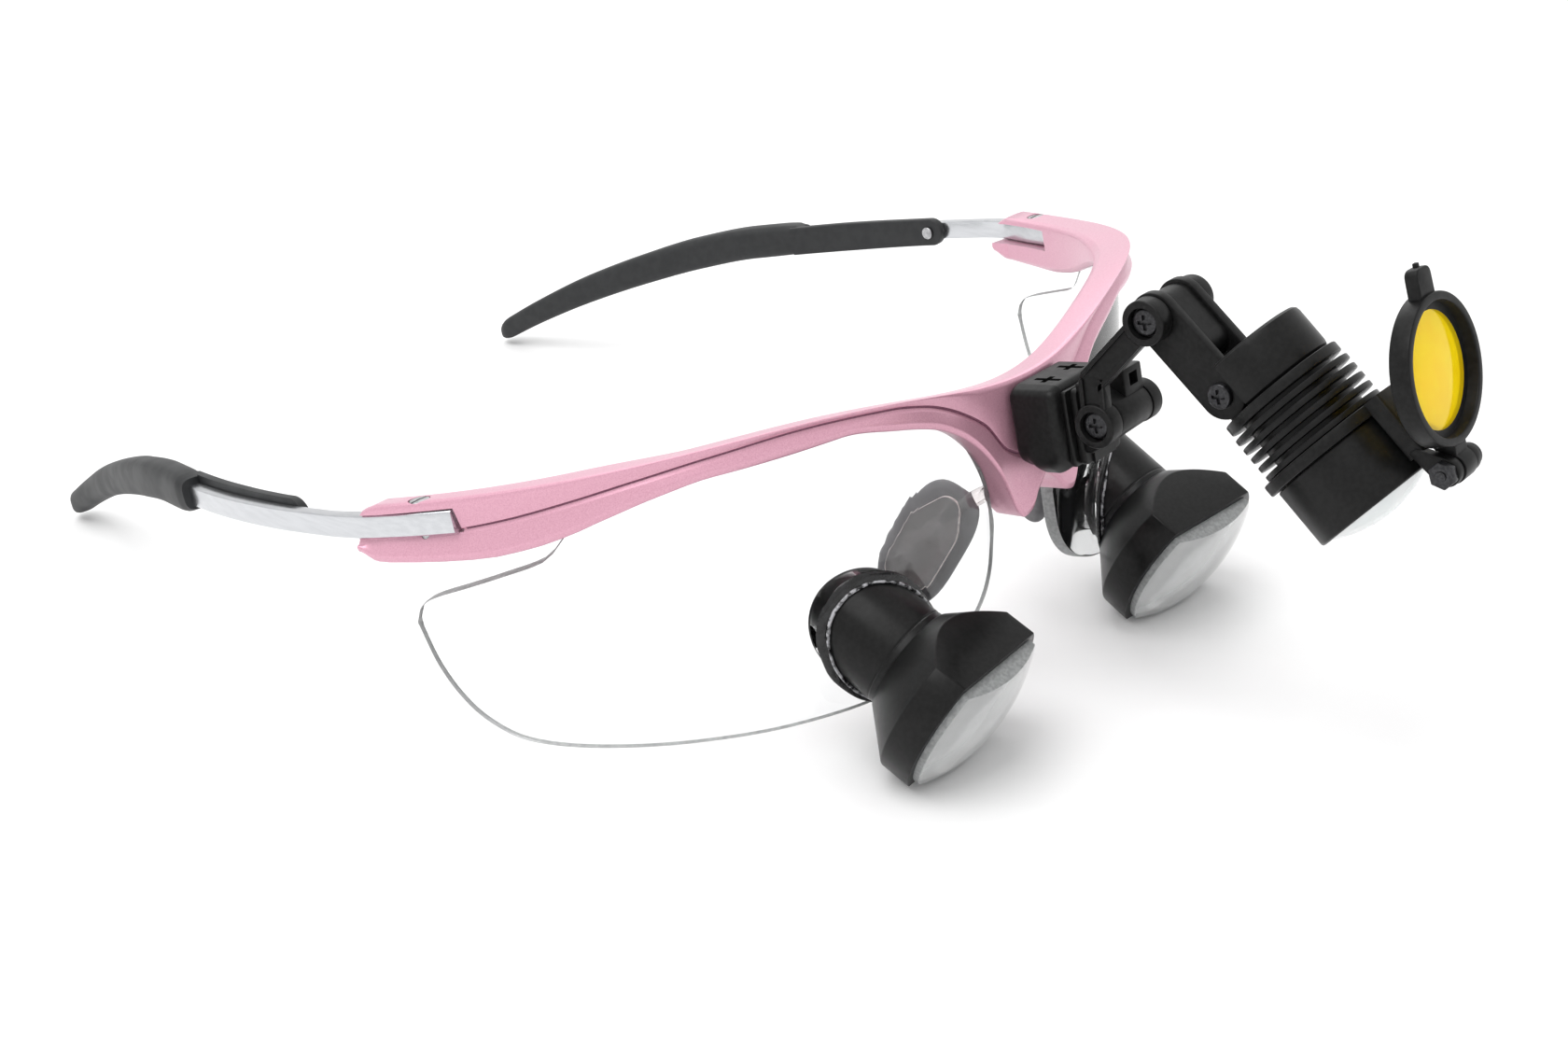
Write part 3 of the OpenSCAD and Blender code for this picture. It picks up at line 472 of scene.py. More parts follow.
# Ground glass edge finish; its dark grey is partly painted shade for the dark look the edges of clear glass get
surface(
    "ground_edge_painted_shade", "ground_glass_edge_painted_shade", (0.3, 0.31, 0.31), 0.45,
    tones=((0.25, 0.26, 0.26), (0.36, 0.37, 0.37), 0.5),
    grain=(0.12, 0.4), Transmission_Weight=0.25, IOR=1.5,
)
surface(
    "black_plastic", "black_plastic", grey(0.007), 0.38,
    tones=(grey(0.005), grey(0.009), 0.6),
    gloss=(0.34, 0.43, 2), grain=(0.25, 0.25), Specular_IOR_Level=0.18,
)
surface(
    "black_screw", "black_oxide_screw", (0.03, 0.03, 0.032), 0.3, 0.6,
    tones=((0.02, 0.02, 0.022), (0.045, 0.045, 0.048), 0.3), grain=(0.1, 0.3),
)
surface(
    "arm_metal", "polished_aluminium", (0.57, 0.58, 0.6), 0.22, 1.0,
    tones=((0.55, 0.56, 0.58), (0.6, 0.61, 0.63), 0.5, (1, 0.08, 1)),
    gloss=(0.2, 0.26, 0.3, (1, 0.06, 1)),
)
surface(
    "sleeve_rubber", "black_rubber", (0.02, 0.021, 0.022), 0.6,
    tones=((0.016, 0.017, 0.018), (0.021, 0.022, 0.023), 1.5),
    gloss=(0.48, 0.56, 4), grain=(0.3, 0.08), Specular_IOR_Level=0.35,
)
surface(
    "board_green", "board_green", (0.04, 0.2, 0.09), 0.4,
    tones=((0.03, 0.16, 0.07), (0.06, 0.26, 0.12), 1), grain=(0.4, 0.2),
)
surface(
    "led_yellow", "led_yellow", (0.85, 0.6, 0.05), 0.3,
    tones=((0.75, 0.5, 0.03), (0.92, 0.7, 0.1), 0.5), grain=(0.3, 0.1),
)
surface(
    "amber_glass", "amber_glass", (1.0, 0.73, 0.005), 0.05,
    tones=((1.0, 0.7, 0.004), (1.0, 0.76, 0.007), 4),
    gloss=(0.03, 0.1, 3), Transmission_Weight=0.5, IOR=1.3,
)
surface(
    "lamp_window", "lamp_window_glass", (0.95, 0.97, 0.97), 0.05,
    tones=((0.86, 0.9, 0.9), (0.94, 0.96, 0.96), 3),
    gloss=(0.02, 0.12, 3), Transmission_Weight=0.3, IOR=1.46,
)
surface("floor", "pale_floor", grey(0.86), 0.7, tones=(grey(0.85), grey(0.87), 30))
SHARP_ANGLE = 32
BODY_OF = {node: name for name, nodes in frame["record"]["behaviour"]["bodies"].items() for node in nodes}


def painted(shape, *names):
    """Gives a shape these finishes in place of what it had."""
    shape.data.materials.clear()
    for name in names:
        shape.data.materials.append(FINISHES[name])


def piece(name, shape, place, slot, nodes=(), finish=None, body=None):
    """Turns a shape in millimetres into a piece in metres, on the body of the node it replaces."""
    moved(shape, WORN @ place)
    shape.name = name
    shape.data.name = name
    if not shape.data.materials or shape.data.materials[0] is None:
        painted(shape, finish or slot)
    shape.data.shade_smooth()
    shape.data.set_sharp_from_angle(angle=math.radians(SHARP_ANGLE))
    body = body or BODY_OF[nodes[0]]
    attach(shape, body)
    if nodes:
        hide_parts(*nodes)
    return shape


# ---- frame front ----
BROW_DEPTH = 5.6
FORK_REACH = 4
BROW_STEPS = 90
SLOT_HEIGHT = 3.3
SLOT_START = 39
HINGE_TOP = 3.55
UNDERSIDE = through([
    (0, -14.2), (2.2, -16), (4, -18), (5.6, -18.4), (7, -17), (9, -11.4), (12.2, -6.6), (15.3, -3.9),
    (18.2, -2.3), (23.8, -0.6), (31.5, 1), (46.4, 0.9), (51.5, 0), (56.1, -1.6), (58.9, -2.9),
    (61.4, -3.8), (64.5, -4.4), (69, -4), (71, -3.4),
])
CREASE = through([
    (0, -12), (6.4, -9), (9.5, -4.8), (12.7, -2.3), (15.8, -0.45), (18.7, 0.8), (24.2, 2.2),
    (31.8, 3.2), (38.7, 3.55), (46.6, 3.2), (53.2, 2.3), (58.8, 1), (62.6, 0), (65.9, -0.6), (71, -1),
])


def ridge(t):
    """The bar's top front edge: from the middle (t = 0) round to 1, then straight back to 2."""
    u = min(t, 1)
    x = 53.7 * u + 21 * u**3 - 5.1 * u**5
    y = 21.5 * u**2 - 13.9 * u**4 + 40.8 * u**6
    z = 22.9 * u**2 - 35.1 * u**4 + 15.9 * u**6
    return Vector((x, y, z)) + max(t - 1, 0) * Vector((0.9, FORK_REACH, -0.9))


# The faces of a section from halfway round its third corner to the end of its fourth: the crease groove, which
# gets a darker pink as painted shade
CREASE_SHADE_FACES = range(12, 19)
# The painted crease shade stops at this x, short of the hinge ends
CREASE_SHADE_END = 64


def brow_ring(t, side):
    """One section of the brow bar: rounded ridge, hollow front, crease, rim face and back."""
    here = ridge(t)
    step = ridge(t + 0.005) - ridge(max(t - 0.005, 0))
    inward = Vector((-step.y, step.x)).normalized()
    end = eased(t, 1.45, 2)
    top = here.z - 1.3 * end
    low = UNDERSIDE(here.x) + 1.1 * end
    crease = min(CREASE(here.x), top - 0.9)
    upper = top - crease
    hollow = 0.35 + 0.12 * min(upper, 4)
    depth = BROW_DEPTH - 1.0 * eased(t, 0.8, 1)
    fall = 1.5 - 0.9 * eased(t, 0.74, 0.86)
    corners = [
        (0, top, 0.75),
        (hollow * 0.55, crease + 0.5 * upper, 1.5),
        (hollow, crease + 0.26, 0.15),
        (hollow + 0.4, crease, 0.1),
        (hollow + 0.05, crease - 0.55, 0.5),
        (0.15, low + 0.9, 0.8),
        (0.5, low, 0.4),
        (depth - 0.5, low + 0.1, 0.6),
        (depth, low + 0.9, 0.5),
        (depth, top - fall, 0.6),
        (depth - 1, top - fall / 2, 0.6),
    ]
    ring = []
    for back, z in rounded(corners, steps=4):
        lean = 0.12 * end * (LEFT_HINGE.z - z)
        ring.append((side * (here.x + inward.x * back), here.y + inward.y * back + lean, z))
    return ring


def fork_cutters(side):
    """The slot for the temple arm, the screw hole and the pocket for its head."""
    slot = block(57, 77, SLOT_START, 70, LEFT_HINGE.z - SLOT_HEIGHT / 2, LEFT_HINGE.z + SLOT_HEIGHT / 2)
    hole = moved(disc(0.85, -8, 8, segments=32), shift(*LEFT_HINGE))
    pocket = moved(disc(1.4, HINGE_TOP - 0.55, 8, segments=40), shift(LEFT_HINGE.x, LEFT_HINGE.y, 0))
    return [moved(tool, side) for tool in (slot, hole, pocket)]


def make_frame_front():
    places = [t**1.5 for t in fractions(BROW_STEPS)]
    places += [1.2, 1.4, 1.55, 1.7, 1.82, 1.92, 2]
    rings = [brow_ring(t, 1) for t in reversed(places[1:])] + [brow_ring(t, -1) for t in places]
    bar_shape = skin(rings)
    painted(bar_shape, "frame_paint", "crease_painted_shade")
    # Faces in the crease groove, short of the ends, take the painted crease shade
    count = len(rings[0])
    for face in bar_shape.data.polygons[:-2]:
        in_crease_shade = face.index % count in CREASE_SHADE_FACES and abs(face.center.x) < CREASE_SHADE_END
        face.material_index = 1 if in_crease_shade else 0
    shape = cut(bar_shape, *fork_cutters(HERE), *fork_cutters(MIRROR))
    piece("frame_front_moulding", shape, HERE, "frame_paint", ["frame_front"])


def make_hinge_screw(side, place):
    head = rounded([(0, -3.7, 0), (0.8, -3.7, 0.1), (0.8, 3, 0), (1.3, 3, 0), (1.3, 3.5, 0.18), (0, 3.55, 0)])
    shape = cut(turned(head, 48), block(-1.6, 1.6, -0.16, 0.16, 3.3, 4))
    place = place @ shift(LEFT_HINGE.x, LEFT_HINGE.y, 0)
    piece(f"{side}_hinge_screw_head", shape, place, "steel", [f"{side}_hinge_screw"])


# ---- carrier lenses ----
LENS_CENTRE = Vector((6, 66, 0))
LENS_RADIUS = 63.5
LENS_THICK = 2
LENS_TILT = math.tan(math.radians(7.5))
LENS_SPAN = (0.8, 73.2)
LENS_HOLE = 7.04
# Heights of the lens's lower and upper edges against the angle round LENS_CENTRE in degrees
LENS_FOOT = through([
    (0.8, -20), (1.6, -25.2), (3, -28.4), (5, -30.7), (7.5, -32.3), (11, -33.8), (16, -35), (22, -35.6),
    (31, -35.2), (42, -34), (50, -32.8), (58, -31.2), (62.4, -29.7), (66.6, -26.6), (69.2, -23.3),
    (71.5, -18.8), (73.2, -13.2),
])
LENS_BROW = through([
    (0.8, -18), (1.6, -13.4), (3, -9.8), (4.5, -7), (6, -5.1), (9, -2.6), (13, -0.5), (17, 0.7),
    (24, 1.9), (38, 1.9), (45, 1.2), (50, -0.3), (53.5, -2.2), (55, -4.4), (57, -6.1), (61.6, -7.3),
    (66.3, -8.4), (71, -9.6), (72.6, -10.8), (73.2, -12.4),
])


def on_lens(angle, radius, z):
    a = math.radians(angle)
    return (
        LENS_CENTRE.x + radius * math.sin(a),
        LENS_CENTRE.y - radius * math.cos(a) - z * LENS_TILT,
        z,
    )


def make_carrier_lens(side, place):
    rings = []
    for s in fractions(110):
        angle = LENS_SPAN[0] + (LENS_SPAN[1] - LENS_SPAN[0]) * (s - math.sin(4 * math.pi * s) / 14)
        inner, top, foot = LENS_RADIUS - LENS_THICK, LENS_BROW(angle), LENS_FOOT(angle)
        outline = rounded(rectangle(LENS_RADIUS, inner, top, foot), 0.45)
        rings.append([on_lens(angle, radius, z) for radius, z in outline])
    blank = skin(rings)
    painted(blank, "carrier_glass", "ground_edge_painted_shade")
    # The edge faces between the lens's two curves take the ground finish with its painted edge shade
    for face in blank.data.polygons:
        middle = face.center
        depth = math.hypot(middle.x - LENS_CENTRE.x, middle.y + middle.z * LENS_TILT - LENS_CENTRE.y)
        face.material_index = 1 if LENS_RADIUS - LENS_THICK + 0.12 < depth < LENS_RADIUS - 0.12 else 0
    hole = moved(disc(LENS_HOLE, -30, -2), LOUPE)
    painted(hole, "adhesive_black")
    shape = cut(blank, hole)
    name = f"{side}_carrier_lens"
    lens = piece(f"{name}_shell", shape, place, "carrier_glass", [name])
    lens.visible_shadow = False


# ---- telescopes ----
RIM_RADIUS = 12.35
RIM_FLATS = 17.8
RIM_BAND = 4.4
CONE_END = -10
BARREL_RADIUS = 7
BARREL_PROUD = 0.6
EYEPIECE_BACK = -16.2
WALL = 1
OBJECTIVE_SEAT = -2.6
OBJECTIVE_EDGE = 0.9
OBJECTIVE_SAG = 2.7
EYE_LENS_RADIUS = 5.9


def between_flats(shape, gap):
    return combined(shape, "INTERSECT", [block(-20, 20, -gap / 2, gap / 2, -40, 20)])


def dome(radius, low, edge, sag, steps=20):
    """The turned outline of a disc whose front is a spherical cap."""
    ball = (radius * radius + sag * sag) / 2 / sag
    centre = edge + sag - ball
    span = math.asin(radius / ball)
    arc = []
    for k in range(steps):
        angle = span * (1 - k / steps)
        arc.append((ball * math.sin(angle), centre + ball * math.cos(angle)))
    return [(0, low), (radius - 0.12, low), (radius, low + 0.12), *arc, (0, edge + sag)]


def make_housing(side, place):
    outer = [
        (0, CONE_END), (BARREL_RADIUS + 0.4, CONE_END), (RIM_RADIUS, -RIM_BAND), (RIM_RADIUS, 0), (0, 0),
    ]
    inner = [
        (0, CONE_END - 1), (BARREL_RADIUS - 1, CONE_END - 1), (BARREL_RADIUS - 1, CONE_END),
        (RIM_RADIUS - 2 * WALL, -RIM_BAND), (RIM_RADIUS - WALL, -RIM_BAND), (RIM_RADIUS - WALL, 1), (0, 1),
    ]
    shape = softened(between_flats(turned(outer, 120), RIM_FLATS), 0.16, 2, 20)
    hollow = between_flats(turned(inner, 120), RIM_FLATS - 2 * WALL)
    bore = disc(BARREL_RADIUS, CONE_END - 1, CONE_END + 2)
    shape = cut(shape, hollow, bore)
    piece(f"{side}_housing_shell", shape, place, "anodised_black", [f"{side}_objective_housing"])


def make_objective(side, place):
    radius = RIM_RADIUS - WALL - 0.02
    outline = dome(radius, OBJECTIVE_SEAT, OBJECTIVE_EDGE, OBJECTIVE_SAG)
    shape = between_flats(turned(outline, 120), RIM_FLATS - 2 * WALL - 0.04)
    shape = softened(shape, 0.12, 2, 25)
    painted(shape, "optic_glass", "ground_edge_painted_shade")
    # The side and flat faces take the ground finish with its painted edge shade
    for face in shape.data.polygons:
        face.material_index = 1 if abs(face.normal.z) < 0.2 else 0
    piece(f"{side}_objective_dome", shape, place, "optic_glass", [f"{side}_objective_lens"])
    retainer = between_flats(
        tube_ring(7.2, radius, OBJECTIVE_SEAT - 1.2, OBJECTIVE_SEAT - 0.02), RIM_FLATS - 2 * WALL - 0.04
    )
    piece(f"{side}_retainer_plate", retainer, place, "anodised_black", [f"{side}_objective_retainer"])


def lens_height(x, y, radius=LENS_RADIUS):
    """Height along the telescope's axis at which it meets the carrier lens's curve of this radius."""
    low, high = -30.0, -4.0
    for _ in range(40):
        middle = (low + high) / 2
        point = LOUPE @ Vector((x, y, middle))
        across = point.x - LENS_CENTRE.x
        ahead = point.y + point.z * LENS_TILT - LENS_CENTRE.y
        if math.hypot(across, ahead) < radius:
            low = middle
        else:
            high = middle
    return low


def make_barrel(side, place):
    """A tube whose rear end follows the carrier lens, with the eyepiece seated inside it."""
    front = CONE_END + 1.8
    count = 120
    rings = []
    for k in range(count):
        angle = 2 * math.pi * k / count
        c, s = math.cos(angle), math.sin(angle)
        middle = BARREL_RADIUS - WALL / 2
        back = lens_height(middle * c, middle * s, LENS_RADIUS - LENS_THICK - BARREL_PROUD)
        section = [
            (BARREL_RADIUS - WALL, back), (BARREL_RADIUS, back, 0.15), (BARREL_RADIUS, -11.2, 0.1),
            (BARREL_RADIUS - 0.12, -11, 0.1), (BARREL_RADIUS, -10.8, 0.1), (BARREL_RADIUS, front),
            (BARREL_RADIUS - WALL, front),
        ]
        rings.append([(r * c, r * s, h) for r, h in rounded(section)])
    piece(f"{side}_barrel_tube", skin(rings, True), place, "anodised_black", [f"{side}_barrel"])
    back = EYEPIECE_BACK
    outer, inner = BARREL_RADIUS - WALL - 0.02, EYE_LENS_RADIUS - 0.9
    ring = [(inner, back, 0.3), (outer, back, 0.15), (outer, back + 1.5), (inner, back + 1.5)]
    piece(f"{side}_eyecup_ring", turned(rounded(ring)), place, "anodised_black", [f"{side}_eyepiece_ring"])
    hollow = [(5.6 * (1 - k / 10), back + 1.6 + 1.05 * (1 - (1 - k / 10) ** 2)) for k in range(11)]
    outline = [(EYE_LENS_RADIUS, back + 3.8), (EYE_LENS_RADIUS, back + 1.6), *hollow, (0, back + 3.8)]
    piece(f"{side}_eyepiece_glass", turned(outline, 64), place, "optic_glass", [f"{side}_eyepiece_lens"])


COLLAR_BORE = 6.98
COLLAR_RADIUS = 8.1
BEAD_LINE = 7.3


def wobble(angle, seed):
    """A small uneven wave round a turn, between -1 and 1."""
    waves = ((0.5, 3, seed), (0.3, 7, 2 * seed), (0.2, 13, -seed))
    return sum(size * math.sin(count * angle + phase) for size, count, phase in waves)


def make_collar(side, place, seed):
    """The uneven black collar that seals the barrel to the carrier lens, with a glossy bead on it whose highlights
    are partly painted glints.
    """
    count = 120
    collar, bead = [], []
    for k in range(count):
        angle = 2 * math.pi * k / count
        c, s = math.cos(angle), math.sin(angle)
        rim = COLLAR_RADIUS + 0.2 * wobble(angle, seed)
        rise = 0.8 + 0.12 * wobble(angle, seed + 1)
        corners = [
            (COLLAR_BORE, -0.25), (rim, -0.02), (rim - 0.1, 0.75 * rise), (BEAD_LINE, rise),
            (COLLAR_BORE, rise),
        ]
        section = rounded(corners, 0.3)
        collar.append([(r * c, r * s, lens_height(r * c, r * s) + h) for r, h in section])
        middle = 7.25 + 0.05 * wobble(angle, seed + 2)
        thick = 0.24 + 0.07 * wobble(angle, seed + 3)
        lift = 0.9 + 0.1 * wobble(angle, seed + 4)
        level = lens_height(BEAD_LINE * c, BEAD_LINE * s)
        bead.append([(r * c, r * s, level + h) for r, h in circle((middle, lift), thick, 10)])
    name = f"{side}_mount_collar"
    piece(f"{name}_ring", skin(collar, True), place, "anodised_black", [name], "adhesive_black")
    shape = skin(bead, True)
    # The bead's finish has painted glints in its colour
    piece(f"{side}_adhesive_bead", shape, place, "adhesive_black", finish="adhesive_bead_painted_glints", body="front")


# ---- nose pads ----
PAD_ROOT = Vector((6.6, 4.95, -14.6))
PAD_HALF_THICK = 1.1
PAD_PLATE_THICK = 0.9


def tube(centres, radii, count=20):
    """A round tube through a list of centres with a radius at each."""
    rings = []
    side = Vector((0, 0, 1))
    for i, centre in enumerate(centres):
        along = (centres[min(i + 1, len(centres) - 1)] - centres[max(i - 1, 0)]).normalized()
        across = (side - along * side.dot(along)).normalized()
        other = along.cross(across)
        rings.append([centre + radii[i] * (across * u.x + other * u.y) for u in circle((0, 0), 1, count)])
    return skin(rings)


def make_pad(side, place):
    pad = pillow(PAD_HALF_THICK, 4.5, 8, 1.1, 3.2)
    cushion = piece(f"{side}_pad_cushion", pad, place @ PAD, "pad_silicone", [f"{side}_nose_pad"])
    middle = PAD_HALF_THICK + 0.02 + PAD_PLATE_THICK / 2
    corners = [(-3.1, 3, 4), (-3.1, -6.4, 4), (3.1, -6.4, 4), (3.1, 3, 4), (1.1, 6.8, 2), (-1.1, 6.8, 2)]
    half = PAD_PLATE_THICK / 2
    plate = softened(prism(rounded(corners, steps=8), middle - half, middle + half, ACROSS), 0.2)
    painted(plate, "pad_plastic", "pad_edge_highlight")
    # The plate's edge faces take the painted edge highlight
    for face in plate.data.polygons:
        face.material_index = 1 if abs(face.normal.x) < 0.8 else 0
    plate = moved(plate, PAD)
    bend = PAD_ROOT + Vector((1.5, 2.9, -0.1))
    end = PAD @ Vector((middle, 0, 3.4))
    centres, radii = [], []
    for t in fractions(14):
        centres.append(PAD_ROOT * (1 - t) ** 2 + bend * 2 * t * (1 - t) + end * t * t)
        radii.append(0.88 + 1.4 * t * (1 - t) - 0.35 * t)
    shape = joined(plate, tube(centres, radii))
    piece(f"{side}_pad_plate", shape, place, "pad_plastic", [f"{side}_pad_arm"])


# ---- bridge ----
BLOCK_FRONT = -7.2
BLOCK_BACK = -0.02
RAIL_PLATE = 0.7
RAIL_LOW = -11.4
RAIL_TOP = -1.4


def both_sides(half):
    """A symmetric outline from the (x, y) points of its left half."""
    return half + [(-x, y) for x, y in reversed(half)]


def make_bridge():
    depth = BLOCK_BACK - BLOCK_FRONT
    rings = []
    for t in fractions(40):
        d = depth * t
        near_end = max(1 - d / 0.9, 1 - (depth - d) / 1.3, 0)
        inset = 1 - math.sqrt(max(1 - near_end**2, 0))
        low = -12.6 + 0.9 * (1 - eased(d, 1.4, 2.9)) + 1.0 * eased(d, 4.6, depth) + inset
        half, top = 6.5 - inset, -0.6 - inset
        corners = [
            (-half, top - 0.6, 1.6), (-half, low + 1.6, 2.2), (-4.2, low, 1.6), (4.2, low, 1.6),
            (half, low + 1.6, 2.2), (half, top - 0.6, 1.6), (4.6, top, 0.8), (-4.6, top, 0.8),
        ]
        rings.append([(x, BLOCK_BACK - d, z) for x, z in rounded(corners, steps=5)])
    shape = skin(rings)
    notches = [softened(block(x - 0.4, x + 0.4, -5.9, -2, -1.4, 1), 0.1) for x in (-2.6, 2.6)]
    notches += [softened(block(x - 1.2, x + 1.2, -4.3, -3.5, -1.2, 1), 0.1) for x in (-2.6, 2.6)]
    shape = cut(shape, *notches)
    piece("bridge_block_moulding", shape, HERE, "black_plastic", ["bridge_block"])
    neck = BLOCK_FRONT - RAIL_PLATE
    outline = rounded(rectangle(-5, 5, RAIL_LOW, RAIL_TOP), 0.5)
    plate = softened(prism(outline, -BLOCK_FRONT, -neck, FORWARD), 0.15)
    tail = [(-1.5, neck + 0.3), (-1.5, neck - 0.2), (-2.4, neck - 0.7), (-2.4, neck - 1.3)]
    shape = joined(plate, prism(both_sides(tail), RAIL_LOW, RAIL_TOP))
    piece("dovetail_rail_plate", shape, HERE, "anodised_black", ["dovetail_rail"])


# ---- lamp arm: pivots as (y, z) in the worn frame ----
LOWER_PIVOT = Vector((-12.3, -5.4))
UPPER_PIVOT = Vector((-21.4, 7.9))
LAMP_PIVOT = Vector((-29.3, -1.5))
ELBOW = Vector((-12.6, 0.4))
BOSS_RADIUS = 2.85
BOSS_IN = 3.85
BOSS_OUT = 6.2
RECESS_RADIUS = 1.95
RECESS_DEPTH = 1.25
HEAD_THICK = 0.8
RECESSED_HEAD = -BOSS_OUT + RECESS_DEPTH - HEAD_THICK - 0.02
PIVOT_RADIUS = 0.9
EAR_HALF = 3.6
PLATE_IN = 2.3
PLATE_OUT = 3.75
FORK_RADIUS = 3.1


def make_bracket():
    face = BLOCK_FRONT - RAIL_PLATE - 0.05
    outline = rounded(rectangle(-4.1, 4.1, RAIL_LOW, RAIL_TOP), 0.8)
    flange = softened(prism(outline, -face, -face + 0.95, FORWARD), 0.18)
    corners = [(-8.55, -9.9), (-8.55, -0.7), (-9.75, -0.7), (-9.75, -9.9)]
    ear = prism(wrapped(corners + circle(LOWER_PIVOT, BOSS_RADIUS - 0.25)), -EAR_HALF, EAR_HALF, ACROSS)
    ear = softened(ear, 0.3, 3)
    latch = softened(block(-0.6, 3.6, -13.9, -10.3, -3.4, 0.2), 0.25, 2)
    shape = joined(flange, ear, latch)
    groove = [(-1.55, face + 0.4), (-1.55, face - 0.4), (-2.45, face - 0.65), (-2.45, face - 1.3)]
    cutters = [
        prism(both_sides(groove), RAIL_LOW - 1, RAIL_TOP + 0.05),
        rod(PIVOT_RADIUS, -5, 5, LOWER_PIVOT),
        block(0.6, 2.4, -15, -9.4, -2.2, -0.6),
        rod(1.5, -4, -3.1, LOWER_PIVOT),
    ]
    piece("lamp_bracket_moulding", cut(shape, *cutters), HERE, "black_plastic", ["lamp_bracket"])


def screw_along_x(pivot, head_x, tip_x, head_radius):
    """A pan-head screw with a cross recess, its head on the right side."""
    head = [(0, HEAD_THICK), (head_radius, HEAD_THICK), (head_radius, 0.1, 0.35), (0, 0)]
    shape = moved(turned(rounded(head, steps=4), 48), spin(90, "Y"))
    recess = moved(cross_recess(head_radius * 1.15, 0.42), spin(-90, "Y"))
    shank = rod(PIVOT_RADIUS - 0.01, 0.7, tip_x - head_x)
    shape = joined(cut(shape, recess), shank)
    return moved(shape, shift(head_x, *pivot))


def make_pivots():
    heads = [
        ("lower_pivot", LOWER_PIVOT, RECESSED_HEAD, 5, 1.7),
        ("upper_pivot", UPPER_PIVOT, RECESSED_HEAD, 5, 1.7),
        ("lamp_pivot", LAMP_PIVOT, -PLATE_OUT - HEAD_THICK, 4.6, 1.6),
    ]
    for name, pivot, head_x, tip_x, radius in heads:
        shape = screw_along_x(pivot, head_x, tip_x, radius)
        piece(f"{name}_cross_screw", shape, HERE, "black_screw", [f"{name}_screw"])
    for name, pivot, x0, x1 in (
        ("lower_pivot", LOWER_PIVOT, EAR_HALF + 0.02, 5.9),
        ("upper_pivot", UPPER_PIVOT, BOSS_IN, 6.2),
    ):
        radius = BOSS_RADIUS - 0.15
        outline = [
            (0, x0), (radius, x0, 0.15), (radius, x1, 0.5), (1.6, x1, 0.2), (1.4, x1 - 0.3, 0.1),
            (0, x1 - 0.3),
        ]
        nut = moved(turned(rounded(outline), 64), shift(0, *pivot) @ spin(90, "Y"))
        piece(f"{name}_cap_nut", nut, HERE, "black_plastic", [f"{name}_nut"])
    hexagon = circle((0, 0), 1.7 / math.cos(math.pi / 6), 6)
    nut = softened(prism(hexagon, PLATE_OUT, PLATE_OUT + 1.3, ACROSS), 0.15)
    nut = cut(nut, rod(PIVOT_RADIUS, 0, 8))
    nut = moved(nut, shift(0, *LAMP_PIVOT))
    piece("lamp_pivot_hex_nut", nut, HERE, "black_screw", ["lamp_pivot_nut"])


def make_lower_link():
    plate_in, plate_out, half = -4.2, -5.7, 1.75
    low = softened(bar(LOWER_PIVOT, ELBOW, half, plate_out, plate_in), 0.2)
    high = softened(bar(ELBOW, UPPER_PIVOT, half, plate_out + 0.01, plate_in - 0.01), 0.2)
    ribs = []
    for start, end in ((LOWER_PIVOT, ELBOW), (ELBOW, UPPER_PIVOT)):
        along = (end - start).normalized()
        across = Vector((-along.y, along.x)) * (half - 0.38)
        for edge in (across, -across):
            ribs.append(bar(start + edge, end + edge, 0.28, plate_out - 0.32, plate_in - 0.5))
    pivots = (LOWER_PIVOT, UPPER_PIVOT)
    bosses = [rod(BOSS_RADIUS, -BOSS_OUT, -BOSS_IN, pivot, 0.3, 64) for pivot in pivots]
    shape = joined(low, high, *ribs, *bosses)
    cutters = []
    for pivot in pivots:
        cutters.append(rod(RECESS_RADIUS, -BOSS_OUT - 1, -BOSS_OUT + RECESS_DEPTH, pivot, 0.1))
        cutters.append(rod(PIVOT_RADIUS + 0.02, -BOSS_OUT - 1, -BOSS_IN + 1, pivot))
    piece("lower_link_moulding", cut(shape, *cutters), HERE, "black_plastic", ["lower_link"])


def make_upper_link():
    plates = []
    for x0, x1 in ((-PLATE_OUT, -PLATE_IN), (PLATE_IN, PLATE_OUT)):
        plates.append(softened(bar(UPPER_PIVOT, LAMP_PIVOT, FORK_RADIUS, x0, x1), 0.18))
    middle = UPPER_PIVOT.lerp(LAMP_PIVOT, 0.45)
    web = bar(UPPER_PIVOT, middle, FORK_RADIUS - 0.5, -PLATE_IN - 0.1, PLATE_IN + 0.1)
    shape = joined(plates[0], plates[1], web)
    cutters = [rod(PIVOT_RADIUS + 0.02, -6, 6, pivot) for pivot in (UPPER_PIVOT, LAMP_PIVOT)]
    piece("upper_link_fork", cut(shape, *cutters), HERE, "black_plastic", ["upper_link"])


# ---- headlight: z forward along the lamp, y towards its upper side ----
CAP_RADIUS = 7.3
CAP_LENGTH = 6.2
TONGUE_HALF = 2.2
TONGUE_TOP = -0.4
LAMP_RADIUS = 8.15
LAMP_LENGTH = 24
FLANGE_THICK = 1.3
FIN_COUNT = 5
FIN_PITCH = 1.36
FIN_THICK = 0.72
CORE_RADIUS = 6.2
GROOVE_RADIUS = 6.9
GROOVE_WIDTH = 1.7
WINDOW_SAG = 1.8
SOCKET_Y = 3.4
SOCKET_RADIUS = 2.3
JACK_RADIUS = 1.25
FINS_START = CAP_LENGTH + FLANGE_THICK
GROOVE_START = FINS_START + FIN_COUNT * FIN_PITCH
SLEEVE_START = GROOVE_START + GROOVE_WIDTH
BOARD_START = SLEEVE_START + 1.5
LAMP_PIVOT_LOCAL = (WORN @ LAMP).inverted() @ WORN @ Vector((0, *LAMP_PIVOT))


